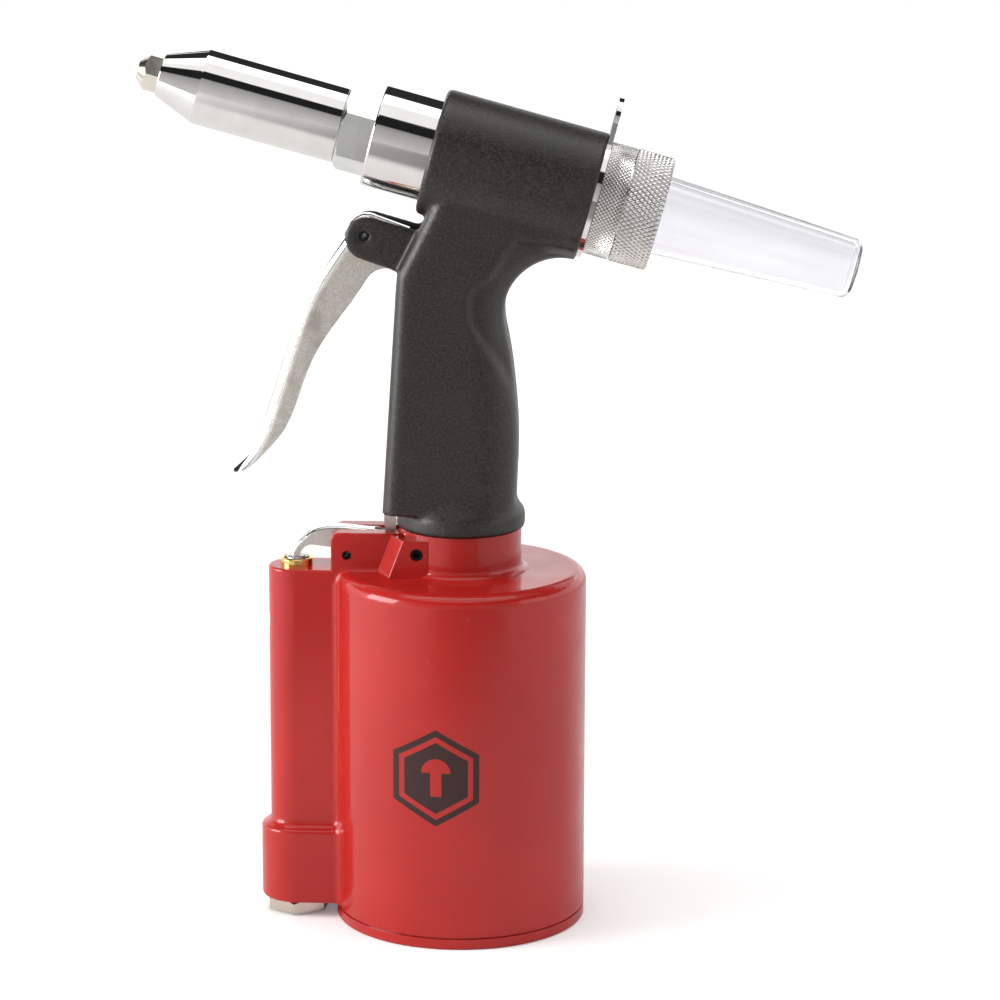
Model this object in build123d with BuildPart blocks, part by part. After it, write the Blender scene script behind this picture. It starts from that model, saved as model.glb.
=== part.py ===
from build123d import *
from math import cos, pi, radians, sin, sqrt, tan
import os

# Pneumatic rivet gun, millimetres.  The origin is the centre of the air cylinder's base, +Z runs
# up the cylinder, the nose points to -X and the head leans back by HEAD_TILT.

# ---- driving dimensions: air cylinder casting ----
CYLINDER_R = 40.0
CYLINDER_BORE_R = 37.0
CAP_THICKNESS = 4.0
SHOULDER_Z = 114.8
SHOULDER_ROUND = 4.0
TOP_WALL = 10.7
NECK_R = 19.3
NECK_ROUND = 2.6
NECK_TOP_Z = 128.4
SPIGOT_R = 15.0

# ---- driving dimensions: valve boss beside the cylinder ----
VALVE_X = -52.5
BOSS_HALF_WIDTH = 9.0
BOSS_TOP_Z = 115.0
HOUSING_HALF_WIDTH = 12.0
HOUSING_BOTTOM_Z = 4.7
HOUSING_TOP_Z = 29.5
INLET_THREAD_R = 6.2
INLET_BODY_R = 8.4
INLET_HEX = 18.0
VALVE_BORE_R = 6.0
VALVE_BUSH_R = 5.2
VALVE_STEM_R = 2.5
EXHAUST_Z = 97.0
BOSS_BLEND = 2.5
HOUSING_BLEND = 3.4
FOOT_BLEND = 1.5
CAST_EDGE = 0.6

# ---- driving dimensions: rocker and its ears ----
ROCKER_PIVOT = (-35.8, 120.05)
ROCKER_HALF_WIDTH = 2.9
EAR_SLOT_HALF_WIDTH = 3.3
EAR_TOP_Z = 127.3
EAR_LEFT_X = -40.9
PIN_R = 1.5

# ---- driving dimensions: grip ----
HANDLE_HALF_WIDTH = 16.5
HANDLE_BOTTOM_Z = 134.5
RIM_R = 20.4
OIL_BORE_R = 7.5
TRIGGER_PIVOT = (-30.0, 222.0)
TRIGGER_HALF_WIDTH = 5.2
TRIGGER_EAR_HALF_WIDTH = 8.0
TRIGGER_EDGE = 4.2
HANDLE_FRONT_EDGE = 4.5
HANDLE_REAR_EDGE = 11.0
ROD_LEAN = 3.53
ROD_FOOT = (-21.92, 134.0)
ROD_R = 1.25

# ---- driving dimensions: head, with stations measured along its axis from the cylinder axis ----
HEAD_TILT = 15.2
HEAD_Z = 245.4
NOSE_TIP_S = -104.0
FRAME_HEAD_FRONT_S = -97.0
FRAME_HEAD_REAR_S = -38.6
SLEEVE_FRONT_S = -28.4
BARREL_FRONT_S = -9.7
BARREL_REAR_S = 42.3
HANGER_REAR_S = 43.8
CAP_REAR_S = 52.2
COLLAR_REAR_S = 64.1
COLLECTOR_END_S = 127.7
BARREL_R = 20.0
SLEEVE_R = 16.2
FRAME_HEAD_R = 12.0
LOCK_NUT_HEX = 24.0
NOSE_HEX = 11.0
MANDREL_R = 1.65
RING_R = 18.0

# ---- driving dimensions: hydraulics ----
HYDRAULIC_R = 15.0
PULL_ROD_R = 8.0
REAR_TUBE_R = 6.0
PASSAGE_R = 3.5
RAM_R = 5.5
RUNNING_GAP = 0.05
FREE_GAP = 0.3
SEAL_EASE = 0.02
BREAK_EDGE = 0.5
CUT_OVER = 1.0

# ---- driving dimensions: spanner hexagons' turn about their own axes, degrees ----
INLET_HEX_TURN = 54.8
LOCK_NUT_TURN = 33.6
NOSE_HEX_TURN = 60.0
NOSE_CONE_R = 3.3
NOSE_CONE_DEG = 45

LEAN = radians(HEAD_TILT)

# A turned part is drawn as (station, radius) corners on a plane whose X runs along its axis.
UPRIGHT = Plane(origin=(0, 0, 0), x_dir=(0, 0, 1), z_dir=(0, 1, 0))
VALVE = Plane(origin=(VALVE_X, 0, 0), x_dir=(0, 0, 1), z_dir=(0, 1, 0))
HEAD = Plane(origin=(0, 0, HEAD_Z), x_dir=(cos(LEAN), 0, -sin(LEAN)), z_dir=(0, -1, 0))
ROD = Plane(
    origin=(ROD_FOOT[0], 0, ROD_FOOT[1]),
    x_dir=(sin(radians(ROD_LEAN)), 0, cos(radians(ROD_LEAN))),
    z_dir=(0, 1, 0),
)
SIDE = Plane.XZ


def head_point(station, height):
    """The (x, z) of a point at a station along the head and a height above its axis."""
    return (
        station * cos(LEAN) + height * sin(LEAN),
        HEAD_Z - station * sin(LEAN) + height * cos(LEAN),
    )


def turn(plane, *corners, mode=Mode.ADD):
    """Revolve corners (station, radius, optional rounding) about the plane's X axis."""
    points = [corner[:2] for corner in corners]
    rounds = [corner[2] if len(corner) > 2 else 0 for corner in corners]
    with BuildSketch(plane) as profile:
        with BuildLine():
            FilletPolyline(*points, radius=rounds, close=True)
        make_face()
    revolve(profile.sketch, axis=Axis(plane.origin, plane.x_dir), mode=mode)


def tube(plane, start, end, outer, inner=0.0, mode=Mode.ADD):
    """A plain ring or rod between two stations."""
    turn(plane, (start, inner), (start, outer), (end, outer), (end, inner), mode=mode)


def seal_ring(plane, station, inner, outer):
    """An O-ring squeezed between two radii."""
    with BuildSketch(plane) as profile:
        with Locations((station, (inner + outer) / 2)):
            Circle((outer - inner) / 2)
    revolve(profile.sketch, axis=Axis(plane.origin, plane.x_dir))


def coil(plane, start, end, radius, wire_r, turns):
    """A compression spring of round wire, its ends just inside the two stations."""
    low = start + wire_r
    height = end - start - 2 * wire_r
    foot = plane.origin + plane.x_dir * low
    with BuildLine() as path:
        Helix(height / turns, height, radius, center=foot, direction=plane.x_dir)
    with BuildSketch(Plane(origin=path.line @ 0, z_dir=path.line % 0)) as wire:
        Circle(wire_r)
    sweep(wire.sketch, path=path.line, is_frenet=True)


def across(plane, station):
    """The plane square to a turned part's axis at one station, its normal along the axis."""
    return Plane(origin=plane.origin + plane.x_dir * station, x_dir=(0, 1, 0), z_dir=plane.x_dir)


def hexagon(plane, start, end, flats, turned=0.0, chamfer_at="start", end_r=None, cone_deg=30):
    """A hexagonal prism whose corners are cut by a cone from radius end_r at one of its ends."""
    corner_r = flats / sqrt(3)
    end_r = end_r or flats / 2 - 0.3
    with BuildSketch(across(plane, start)) as section:
        RegularPolygon(corner_r, 6, rotation=turned)
    extrude(section.sketch, amount=end - start)
    drop = (corner_r - end_r) * tan(radians(cone_deg))
    if chamfer_at == "start":
        cone = (start - 1, end_r), (start, end_r), (start + drop, corner_r)
    else:
        cone = (end + 1, end_r), (end, end_r), (end - drop, corner_r)
    outside = (cone[2][0], corner_r + 1), (cone[0][0], corner_r + 1)
    turn(plane, *cone, *outside, mode=Mode.SUBTRACT)


def finish(builder, name):
    """Label a finished piece and write it as its own STEP file."""
    builder.part.label = name
    export_step(builder.part, f"parts/{name}.step")


os.makedirs("parts", exist_ok=True)

# ---- air cylinder group ----
SHOULDER_START_Z = SHOULDER_Z - SHOULDER_ROUND
BORE_TOP_Z = SHOULDER_Z - TOP_WALL
SPIGOT_BOTTOM_Z = BORE_TOP_Z
LUG_FACE_Y = 17.0
LUG_SCREW = (-13.1, 122.4)
LUG_SCREW_R = 2.0
PASSAGE_X = -41.2
DRILL_R = 1.6
BOSS_REACH = 22.0
BOSS_EDGE = 0.8
HOUSING_EDGE = 1.4
EAR_BLOCK_REAR_X = -14.0
EAR_CORNER_R = 2.8
INLET_SEAT_Z = 20.0
SPRING_CHAMBER_R = 7.0
SPRING_CHAMBER_TOP_Z = 45.0
BUSH_SEAT_Z = 99.5
EXHAUST_R = 3.0
CROSS_DRILL_Z = 58.0
FOOT_DRILL_Z = 7.8
EAR_BLOCK_FOOT_Z = BOSS_TOP_Z - 3
LUG_TOP_Z = 126.9
LUG_FOOT_Z = 113.0
LUG_FRONT_X = {LUG_FOOT_Z: -22.6, LUG_TOP_Z: -17.35}
LUG_FACET = 4.2
LUG_REAR_X = -9.2
LUG_SCREW_DEPTH = 9.0
EAR_SLOT_FLOOR_Z = 115.4

with BuildPart() as air_cylinder:
    # Straight lower part: barrel, upper boss and the wider housing, both half-round at the end.
    with BuildSketch(Plane.XY.offset(CAP_THICKNESS)):
        Circle(CYLINDER_R)
    extrude(amount=SHOULDER_START_Z - CAP_THICKNESS)
    for half_width, high in (
        (BOSS_HALF_WIDTH, SHOULDER_START_Z),
        (HOUSING_HALF_WIDTH, HOUSING_TOP_Z),
    ):
        with BuildSketch(Plane.XY.offset(HOUSING_BOTTOM_Z)):
            with Locations((VALVE_X, 0)):
                Circle(half_width)
                Rectangle(BOSS_REACH, 2 * half_width, align=(Align.MIN, Align.CENTER))
        extrude(amount=high - HOUSING_BOTTOM_Z)
    housing_ends = air_cylinder.edges().filter_by(GeomType.CIRCLE).filter_by(
        lambda e: abs(e.radius - HOUSING_HALF_WIDTH) < 0.01
    )
    fillet(housing_ends, HOUSING_EDGE)
    for half_width, blend in ((HOUSING_HALF_WIDTH, HOUSING_BLEND), (BOSS_HALF_WIDTH, BOSS_BLEND)):
        inner_corners = air_cylinder.edges().filter_by(Axis.Z).filter_by(
            lambda e: abs(e.center().X) < CYLINDER_R - 0.5
            and abs(abs(e.center().Y) - half_width) < 0.01
        )
        fillet(inner_corners, blend)
    # Shoulder and neck above it.
    turn(
        UPRIGHT,
        (SHOULDER_START_Z, 0),
        (SHOULDER_START_Z, CYLINDER_R),
        (SHOULDER_Z, CYLINDER_R, SHOULDER_ROUND - 0.001),
        (SHOULDER_Z, NECK_R, NECK_ROUND),
        (NECK_TOP_Z, NECK_R),
        (NECK_TOP_Z, 0),
    )
    # Top of the boss, and the block the rocker's ears are cut from, each with its edges rounded.
    with BuildSketch(Plane.XY.offset(SHOULDER_START_Z)):
        with Locations((VALVE_X, 0)):
            Circle(BOSS_HALF_WIDTH)
            Rectangle(BOSS_REACH, 2 * BOSS_HALF_WIDTH, align=(Align.MIN, Align.CENTER))
    boss_top = extrude(amount=BOSS_TOP_Z - SHOULDER_START_Z, mode=Mode.PRIVATE)
    boss_rim = boss_top.edges().filter_by(
        lambda e: e.center().Z > BOSS_TOP_Z - 0.1 and e.center().X < VALVE_X + BOSS_REACH - 1
    )
    add(boss_top.fillet(BOSS_EDGE, boss_rim))
    with BuildSketch(SIDE):
        with BuildLine():
            FilletPolyline(
                (EAR_LEFT_X, EAR_BLOCK_FOOT_Z),
                (EAR_LEFT_X, EAR_TOP_Z),
                (EAR_BLOCK_REAR_X, EAR_TOP_Z),
                (EAR_BLOCK_REAR_X, EAR_BLOCK_FOOT_Z),
                radius=[0, EAR_CORNER_R, 0, 0],
                close=True,
            )
        make_face()
    ear_block = extrude(amount=BOSS_HALF_WIDTH, both=True, mode=Mode.PRIVATE)
    ear_rim = ear_block.edges().filter_by(
        lambda e: abs(abs(e.center().Y) - BOSS_HALF_WIDTH) < 0.01
        and e.center().Z > BOSS_TOP_Z
        and e.center().X < EAR_BLOCK_REAR_X - 1
    )
    add(ear_block.fillet(CAST_EDGE, ear_rim))
    # Blend where the ears' sides rise from the shoulder and run into the neck.
    ear_feet = air_cylinder.edges().filter_by(
        lambda e: abs(abs(e.center().Y) - BOSS_HALF_WIDTH) < 0.05
        and EAR_LEFT_X + 1.4 < e.center().X < -16
        and SHOULDER_START_Z - 2 < e.center().Z < SHOULDER_Z + 3
        and e.length > 0.5
    )
    fillet(ear_feet, FOOT_BLEND)
    # Screw lugs beside the neck, each with a leaning front facet.
    for side in (-1, 1):
        for z, front_x in LUG_FRONT_X.items():
            with BuildSketch(Plane.XY.offset(z)):
                with BuildLine():
                    Polyline(
                        (front_x, side * LUG_FACE_Y),
                        (front_x - LUG_FACET, side * BOSS_HALF_WIDTH),
                        (-12, side * 5),
                        (-4, side * 8),
                        (LUG_REAR_X, side * LUG_FACE_Y),
                        close=True,
                    )
                make_face()
        loft()
    lug_fronts = air_cylinder.edges().filter_by(
        lambda e: abs(abs(e.center().Y) - LUG_FACE_Y) < 0.05
        and e.center().X < LUG_SCREW[0] - 6
        and e.center().Z > SHOULDER_Z + 3
    )
    fillet(lug_fronts, CAST_EDGE)
    # Slot between the ears, from the boss top to the neck.
    with BuildSketch(Plane.XY.offset(EAR_SLOT_FLOOR_Z)):
        with Locations((-NECK_R, 0)):
            Rectangle(30, 2 * EAR_SLOT_HALF_WIDTH, align=(Align.MAX, Align.CENTER))
    extrude(amount=EAR_TOP_Z - EAR_SLOT_FLOOR_Z + CUT_OVER, mode=Mode.SUBTRACT)
    # Cylinder bore and the neck's thread bore.
    tube(UPRIGHT, CAP_THICKNESS - 1, BORE_TOP_Z, CYLINDER_BORE_R, mode=Mode.SUBTRACT)
    tube(UPRIGHT, BORE_TOP_Z - 1, NECK_TOP_Z + 1, SPIGOT_R, mode=Mode.SUBTRACT)
    # Valve bores: inlet thread, spring chamber, sleeve bore and bush bore.
    for low, high, bore_r in (
        (HOUSING_BOTTOM_Z - 1, INLET_SEAT_Z, INLET_BODY_R),
        (INLET_SEAT_Z, SPRING_CHAMBER_TOP_Z, SPRING_CHAMBER_R),
        (SPRING_CHAMBER_TOP_Z, BUSH_SEAT_Z, VALVE_BORE_R),
        (BUSH_SEAT_Z, BOSS_TOP_Z + 1, VALVE_BUSH_R),
    ):
        tube(VALVE, low, high, bore_r, mode=Mode.SUBTRACT)
    # Exhaust port, and the drilled passage from the valve to the cylinder's foot.
    with BuildSketch(Plane.YZ.offset(VALVE_X)):
        with Locations((0, EXHAUST_Z)):
            Circle(EXHAUST_R)
    extrude(amount=-BOSS_HALF_WIDTH - 1, mode=Mode.SUBTRACT)
    with BuildSketch(Plane.XY.offset(FOOT_DRILL_Z - DRILL_R)):
        with Locations((PASSAGE_X, 0)):
            Circle(DRILL_R)
    extrude(amount=CROSS_DRILL_Z - FOOT_DRILL_Z + 2 * DRILL_R, mode=Mode.SUBTRACT)
    for start_x, length, z in (
        (VALVE_X, PASSAGE_X - VALVE_X, CROSS_DRILL_Z),
        (PASSAGE_X, CYLINDER_R + PASSAGE_X + 7, FOOT_DRILL_Z),
    ):
        with BuildSketch(Plane.YZ.offset(start_x)):
            with Locations((0, z)):
                Circle(DRILL_R)
        extrude(amount=length, mode=Mode.SUBTRACT)
    # Rocker pin hole and the two lug screw holes.
    with BuildSketch(SIDE):
        with Locations(ROCKER_PIVOT):
            Circle(PIN_R)
    extrude(amount=BOSS_HALF_WIDTH + 1, both=True, mode=Mode.SUBTRACT)
    for side in (-1, 1):
        with BuildSketch(SIDE.offset(side * (LUG_FACE_Y + 1))):
            with Locations(LUG_SCREW):
                Circle(LUG_SCREW_R)
        extrude(amount=-side * LUG_SCREW_DEPTH, mode=Mode.SUBTRACT)
finish(air_cylinder, "air_cylinder")

CAP_SPIGOT_Z = 7.0
CAP_DISH_DEPTH = 0.8
CAP_DISH_R = 31.0
CAP_RIM_R = 33.0
SEAM_HEIGHT = 0.6
SEAM_DEPTH = 0.7
CAP_GROOVE = (4.6, 6.0)
CAP_GROOVE_DEPTH = 1.1
SPANNER_CIRCLE_R = 24.0
SPANNER_HOLE_R = 2.5
SPANNER_HOLE_DEPTH = 3.5
RELIEF = (5.0, 4.0, 0.8)
with BuildPart() as cylinder_cap:
    turn(
        UPRIGHT,
        (CAP_DISH_DEPTH, 0),
        (CAP_DISH_DEPTH, CAP_DISH_R, BREAK_EDGE),
        (0, CAP_RIM_R),
        (0, CYLINDER_R, CAST_EDGE),
        (CAP_THICKNESS - SEAM_HEIGHT, CYLINDER_R, CAST_EDGE / 4),
        (CAP_THICKNESS - SEAM_HEIGHT, CYLINDER_R - SEAM_DEPTH),
        (CAP_THICKNESS, CYLINDER_R - SEAM_DEPTH),
        (CAP_THICKNESS, CYLINDER_BORE_R),
        (CAP_SPIGOT_Z, CYLINDER_BORE_R, BREAK_EDGE),
        (CAP_SPIGOT_Z, 0),
    )
    groove_bottom_r = CYLINDER_BORE_R - CAP_GROOVE_DEPTH
    tube(UPRIGHT, *CAP_GROOVE, CYLINDER_BORE_R + CUT_OVER, groove_bottom_r, mode=Mode.SUBTRACT)
    # Two blind holes for the pin spanner.
    with BuildSketch():
        with PolarLocations(SPANNER_CIRCLE_R, 2):
            Circle(SPANNER_HOLE_R)
    extrude(amount=SPANNER_HOLE_DEPTH, mode=Mode.SUBTRACT)
    # Relief in the spigot's edge so that the drilled passage opens under the piston.
    with BuildSketch(Plane.XY.offset(CAP_SPIGOT_Z)):
        with Locations((-CYLINDER_BORE_R, 0)):
            Rectangle(*RELIEF[:2])
    extrude(amount=-RELIEF[2], mode=Mode.SUBTRACT)
finish(cylinder_cap, "cylinder_cap")

with BuildPart() as cap_seal:
    seal_ring(UPRIGHT, sum(CAP_GROOVE) / 2, groove_bottom_r, CYLINDER_BORE_R - SEAL_EASE)
finish(cap_seal, "cap_seal")

PISTON_REST_Z = 9.5
PISTON_TOP_Z = PISTON_REST_Z + 9.5
PISTON_R = CYLINDER_BORE_R - 0.1
PAD_INNER_R, PAD_OUTER_R, PAD_TAPER = 11.0, 24.0, 2.0
with BuildPart() as bumper_pad:
    turn(
        UPRIGHT,
        (CAP_SPIGOT_Z, PAD_INNER_R),
        (CAP_SPIGOT_Z, PAD_OUTER_R),
        (PISTON_REST_Z - FREE_GAP, PAD_OUTER_R - PAD_TAPER),
        (PISTON_REST_Z - FREE_GAP, PAD_INNER_R + PAD_TAPER),
    )
finish(bumper_pad, "bumper_pad")

NUT_HEX = 13.0
NUT_RECESS_Z = PISTON_REST_Z + 5.0
RAM_THREAD_R = 4.0
PISTON_GROOVE_Z = PISTON_REST_Z + 3.0
PISTON_GROOVE_LENGTH = 3.6
PISTON_GROOVE_R = PISTON_R - 2.9
NUT_RECESS_R = 9.5
with BuildPart() as air_piston:
    turn(
        UPRIGHT,
        (PISTON_REST_Z, 0),
        (PISTON_REST_Z, PISTON_R, BREAK_EDGE),
        (PISTON_TOP_Z, PISTON_R, BREAK_EDGE),
        (PISTON_TOP_Z, 0),
    )
    groove_top_z = PISTON_GROOVE_Z + PISTON_GROOVE_LENGTH
    tube(
        UPRIGHT, PISTON_GROOVE_Z, groove_top_z, PISTON_R + CUT_OVER, PISTON_GROOVE_R, mode=Mode.SUBTRACT
    )
    tube(UPRIGHT, PISTON_REST_Z - CUT_OVER, NUT_RECESS_Z, NUT_RECESS_R, mode=Mode.SUBTRACT)
    tube(UPRIGHT, NUT_RECESS_Z - 1, PISTON_TOP_Z + 1, RAM_THREAD_R, mode=Mode.SUBTRACT)
finish(air_piston, "air_piston")

with BuildPart() as air_piston_seal:
    ring_z = PISTON_GROOVE_Z + PISTON_GROOVE_LENGTH / 2
    seal_ring(UPRIGHT, ring_z, PISTON_GROOVE_R, CYLINDER_BORE_R - SEAL_EASE)
finish(air_piston_seal, "air_piston_seal")

RAM_TOP_Z = 145.0
with BuildPart() as ram:
    turn(
        UPRIGHT,
        (PISTON_REST_Z + FREE_GAP, 0),
        (PISTON_REST_Z + FREE_GAP, RAM_THREAD_R, BREAK_EDGE),
        (PISTON_TOP_Z, RAM_THREAD_R),
        (PISTON_TOP_Z, RAM_R, BREAK_EDGE),
        (RAM_TOP_Z, RAM_R, 1.0),
        (RAM_TOP_Z, 0),
    )
finish(ram, "ram")

with BuildPart() as piston_nut:
    hexagon(UPRIGHT, PISTON_REST_Z + 2 * FREE_GAP, NUT_RECESS_Z, NUT_HEX)
    tube(UPRIGHT, PISTON_REST_Z, NUT_RECESS_Z + 1, RAM_THREAD_R, mode=Mode.SUBTRACT)
finish(piston_nut, "piston_nut")

GLAND_TOP_Z = 125.0
GLAND_R = 10.5
GLAND_HEX = 24.0
GLAND_FLANGE_Z = BORE_TOP_Z - 3.7
GLAND_GROOVES = (108.0, 119.0)
GROOVE_LENGTH = 2.6
GLAND_GROOVE_R = RAM_R + 2.2
with BuildPart() as ram_gland:
    hexagon(UPRIGHT, GLAND_FLANGE_Z, BORE_TOP_Z, GLAND_HEX)
    tube(UPRIGHT, BORE_TOP_Z, GLAND_TOP_Z, GLAND_R)
    tube(UPRIGHT, GLAND_FLANGE_Z - 1, GLAND_TOP_Z + 1, RAM_R + RUNNING_GAP, mode=Mode.SUBTRACT)
    for z in GLAND_GROOVES:
        tube(UPRIGHT, z, z + GROOVE_LENGTH, GLAND_GROOVE_R, RAM_R, mode=Mode.SUBTRACT)
finish(ram_gland, "ram_gland")

with BuildPart() as ram_seals:
    for z in GLAND_GROOVES:
        seal_ring(UPRIGHT, z + GROOVE_LENGTH / 2, RAM_R + SEAL_EASE, GLAND_GROOVE_R)
finish(ram_seals, "ram_seals")

SCREW_LENGTH = 5.6
SCREW_SINK = 0.7
SCREW_SOCKET_R = 1.15
SOCKET_DEPTH = 2.0
with BuildPart() as neck_set_screws:
    for side in (-1, 1):
        head_y = side * (LUG_FACE_Y - SCREW_SINK)
        with BuildSketch(SIDE.offset(head_y)):
            with Locations(LUG_SCREW):
                Circle(LUG_SCREW_R)
        extrude(amount=-side * SCREW_LENGTH)
        with BuildSketch(SIDE.offset(head_y)):
            with Locations(LUG_SCREW):
                RegularPolygon(SCREW_SOCKET_R, 6)
        extrude(amount=-side * SOCKET_DEPTH, mode=Mode.SUBTRACT)
finish(neck_set_screws, "neck_set_screws")

# ---- trigger valve ----
INLET_BOTTOM_Z = 0.6
INLET_TOP_Z = 19.5
INLET_THREAD_TOP_Z = 13.0
INLET_PASSAGE_R = 3.6
with BuildPart() as inlet_bushing:
    hexagon(VALVE, INLET_BOTTOM_Z, HOUSING_BOTTOM_Z, INLET_HEX, INLET_HEX_TURN, chamfer_at="end")
    tube(VALVE, HOUSING_BOTTOM_Z, INLET_TOP_Z, INLET_BODY_R)
    for low, high, bore_r in (
        (INLET_BOTTOM_Z - CUT_OVER, INLET_THREAD_TOP_Z, INLET_THREAD_R),
        (INLET_THREAD_TOP_Z - CUT_OVER, INLET_TOP_Z + CUT_OVER, INLET_PASSAGE_R),
    ):
        tube(VALVE, low, high, bore_r, mode=Mode.SUBTRACT)
finish(inlet_bushing, "inlet_bushing")

STEM_FOOT_Z = 44.0
with BuildPart() as valve_spring:
    coil(VALVE, INLET_TOP_Z, STEM_FOOT_Z, radius=4.6, wire_r=0.5, turns=7)
finish(valve_spring, "valve_spring")

SLEEVE_LOW_Z, SLEEVE_HIGH_Z = 45.5, 92.0
SLEEVE_GROOVES = (48.0, 66.0, 84.0)
SLEEVE_GROOVE_LENGTH = 1.6
SLEEVE_GROOVE_R = VALVE_BORE_R - 1.0
SLEEVE_INNER_R = 4.2
SLEEVE_PORTS = (58.0, 76.0)
SLEEVE_PORT_R = 1.5
with BuildPart() as valve_sleeve:
    tube(VALVE, SLEEVE_LOW_Z, SLEEVE_HIGH_Z, VALVE_BORE_R - SEAL_EASE, SLEEVE_INNER_R)
    for z in SLEEVE_GROOVES:
        groove_end_z = z + SLEEVE_GROOVE_LENGTH
        tube(VALVE, z, groove_end_z, VALVE_BORE_R + CUT_OVER, SLEEVE_GROOVE_R, mode=Mode.SUBTRACT)
    for z in SLEEVE_PORTS:
        with BuildSketch(Plane.YZ.offset(VALVE_X)):
            with Locations((0, z)):
                Circle(SLEEVE_PORT_R)
        extrude(amount=VALVE_BORE_R + CUT_OVER, both=True, mode=Mode.SUBTRACT)
finish(valve_sleeve, "valve_sleeve")

with BuildPart() as valve_sleeve_seals:
    for z in SLEEVE_GROOVES:
        ring_z = z + SLEEVE_GROOVE_LENGTH / 2
        seal_ring(VALVE, ring_z, SLEEVE_GROOVE_R, VALVE_BORE_R - SEAL_EASE)
finish(valve_sleeve_seals, "valve_sleeve_seals")

STEM_TOP_Z = 118.0
STEM_HEAD_R = 3.4
STEM_GROOVES = (52.0, 70.0)
STEM_GROOVE_LENGTH = 1.8
STEM_COLLAR_R = 3.9
STEM_RING_R = 4.15
STEM_FOOT_R = 5.3
STEM_FOOT_HEIGHT = 1.0
STEM_HEAD_HEIGHT = 2.5
with BuildPart() as valve_stem:
    turn(
        VALVE,
        (STEM_FOOT_Z, 0),
        (STEM_FOOT_Z, STEM_FOOT_R, 0.3),
        (STEM_FOOT_Z + STEM_FOOT_HEIGHT, STEM_FOOT_R, 0.3),
        (STEM_FOOT_Z + STEM_FOOT_HEIGHT, VALVE_STEM_R),
        (STEM_TOP_Z - STEM_HEAD_HEIGHT, VALVE_STEM_R),
        (STEM_TOP_Z - STEM_HEAD_HEIGHT, STEM_HEAD_R, 0.4),
        (STEM_TOP_Z, STEM_HEAD_R, 0.8),
        (STEM_TOP_Z, 0),
    )
    for z in STEM_GROOVES:
        groove_end_z = z + STEM_GROOVE_LENGTH
        tube(VALVE, z - 1.2, groove_end_z + 1.2, STEM_COLLAR_R, VALVE_STEM_R - BREAK_EDGE)
        tube(VALVE, z, groove_end_z, STEM_COLLAR_R + CUT_OVER, VALVE_STEM_R, mode=Mode.SUBTRACT)
finish(valve_stem, "valve_stem")

with BuildPart() as valve_stem_seals:
    for z in STEM_GROOVES:
        seal_ring(VALVE, z + STEM_GROOVE_LENGTH / 2, VALVE_STEM_R, STEM_RING_R)
finish(valve_stem_seals, "valve_stem_seals")

BUSH_TOP_Z = 117.3
BUSH_FOOT_Z = 100.2
BUSH_DISH_R = 4.0
BUSH_DISH_Z = 111.5
with BuildPart() as valve_bush:
    turn(
        VALVE,
        (BUSH_FOOT_Z, VALVE_STEM_R + RUNNING_GAP),
        (BUSH_FOOT_Z, VALVE_BUSH_R),
        (BUSH_TOP_Z, VALVE_BUSH_R, 0.5),
        (BUSH_TOP_Z, BUSH_DISH_R, 0.3),
        (BUSH_DISH_Z, BUSH_DISH_R),
        (BUSH_DISH_Z, VALVE_STEM_R + RUNNING_GAP),
    )
finish(valve_bush, "valve_bush")

# ---- rocker ----
LINK_PIN = (-22.4, 123.7)
LINK_PIN_R = 1.0
with BuildPart() as rocker_lever:
    with BuildSketch(SIDE):
        with BuildLine():
            back = Spline(
                (-54.0, 118.9),
                (-52.5, 121.8),
                (-50.0, 124.3),
                (-46.9, 126.7),
                (-43.5, 127.65),
                (-36.5, 127.8),
                (-27.7, 127.1),
            )
            Line(back @ 1, (-20.6, 126.3))
            Line((-20.6, 126.3), (-20.6, 121.3))
            Line((-20.6, 121.3), (-29.0, 121.5))
            ThreePointArc((-29.0, 121.5), (-35.6, 116.05), (-40.6, 121.2))
            Line((-40.6, 121.2), (-45.7, 121.7))
            Spline((-45.7, 121.7), (-48.8, 121.6), (-51.2, 118.9))
            ThreePointArc((-51.2, 118.9), (-52.6, 118.3), (-54.0, 118.9))
        make_face()
    extrude(amount=ROCKER_HALF_WIDTH, both=True)
    long_edges = rocker_lever.edges().filter_by(
        lambda e: abs(abs(e.center().Y) - ROCKER_HALF_WIDTH) < 0.01
        and e.center().Z > 123
        and e.center().X < -30
    )
    fillet(long_edges, 0.9)
    # Fork for the rod's eye, with open slots for its cross pin.
    with BuildSketch(Plane.XY.offset(118)):
        with Locations((-27.5, 0)):
            Rectangle(10, 3.4, align=(Align.MIN, Align.CENTER))
    extrude(amount=14, mode=Mode.SUBTRACT)
    with BuildSketch(SIDE):
        with Locations((-25.0, LINK_PIN[1])):
            Rectangle(8, 2 * LINK_PIN_R + 0.6, align=(Align.MIN, Align.CENTER))
    extrude(amount=ROCKER_HALF_WIDTH + 1, both=True, mode=Mode.SUBTRACT)
    with BuildSketch(SIDE):
        with Locations(ROCKER_PIVOT):
            Circle(PIN_R + RUNNING_GAP)
    extrude(amount=ROCKER_HALF_WIDTH + 1, both=True, mode=Mode.SUBTRACT)
finish(rocker_lever, "rocker_lever")

for pin_name, centre, half_length in (
    ("rocker_pin", ROCKER_PIVOT, BOSS_HALF_WIDTH - 0.6),
    ("trigger_pin", TRIGGER_PIVOT, TRIGGER_EAR_HALF_WIDTH - 0.6),
):
    with BuildPart() as roll_pin:
        with BuildSketch(SIDE):
            with Locations(centre):
                Circle(PIN_R)
                Circle(PIN_R - 0.55, mode=Mode.SUBTRACT)
        extrude(amount=half_length, both=True)
    finish(roll_pin, pin_name)

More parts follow.
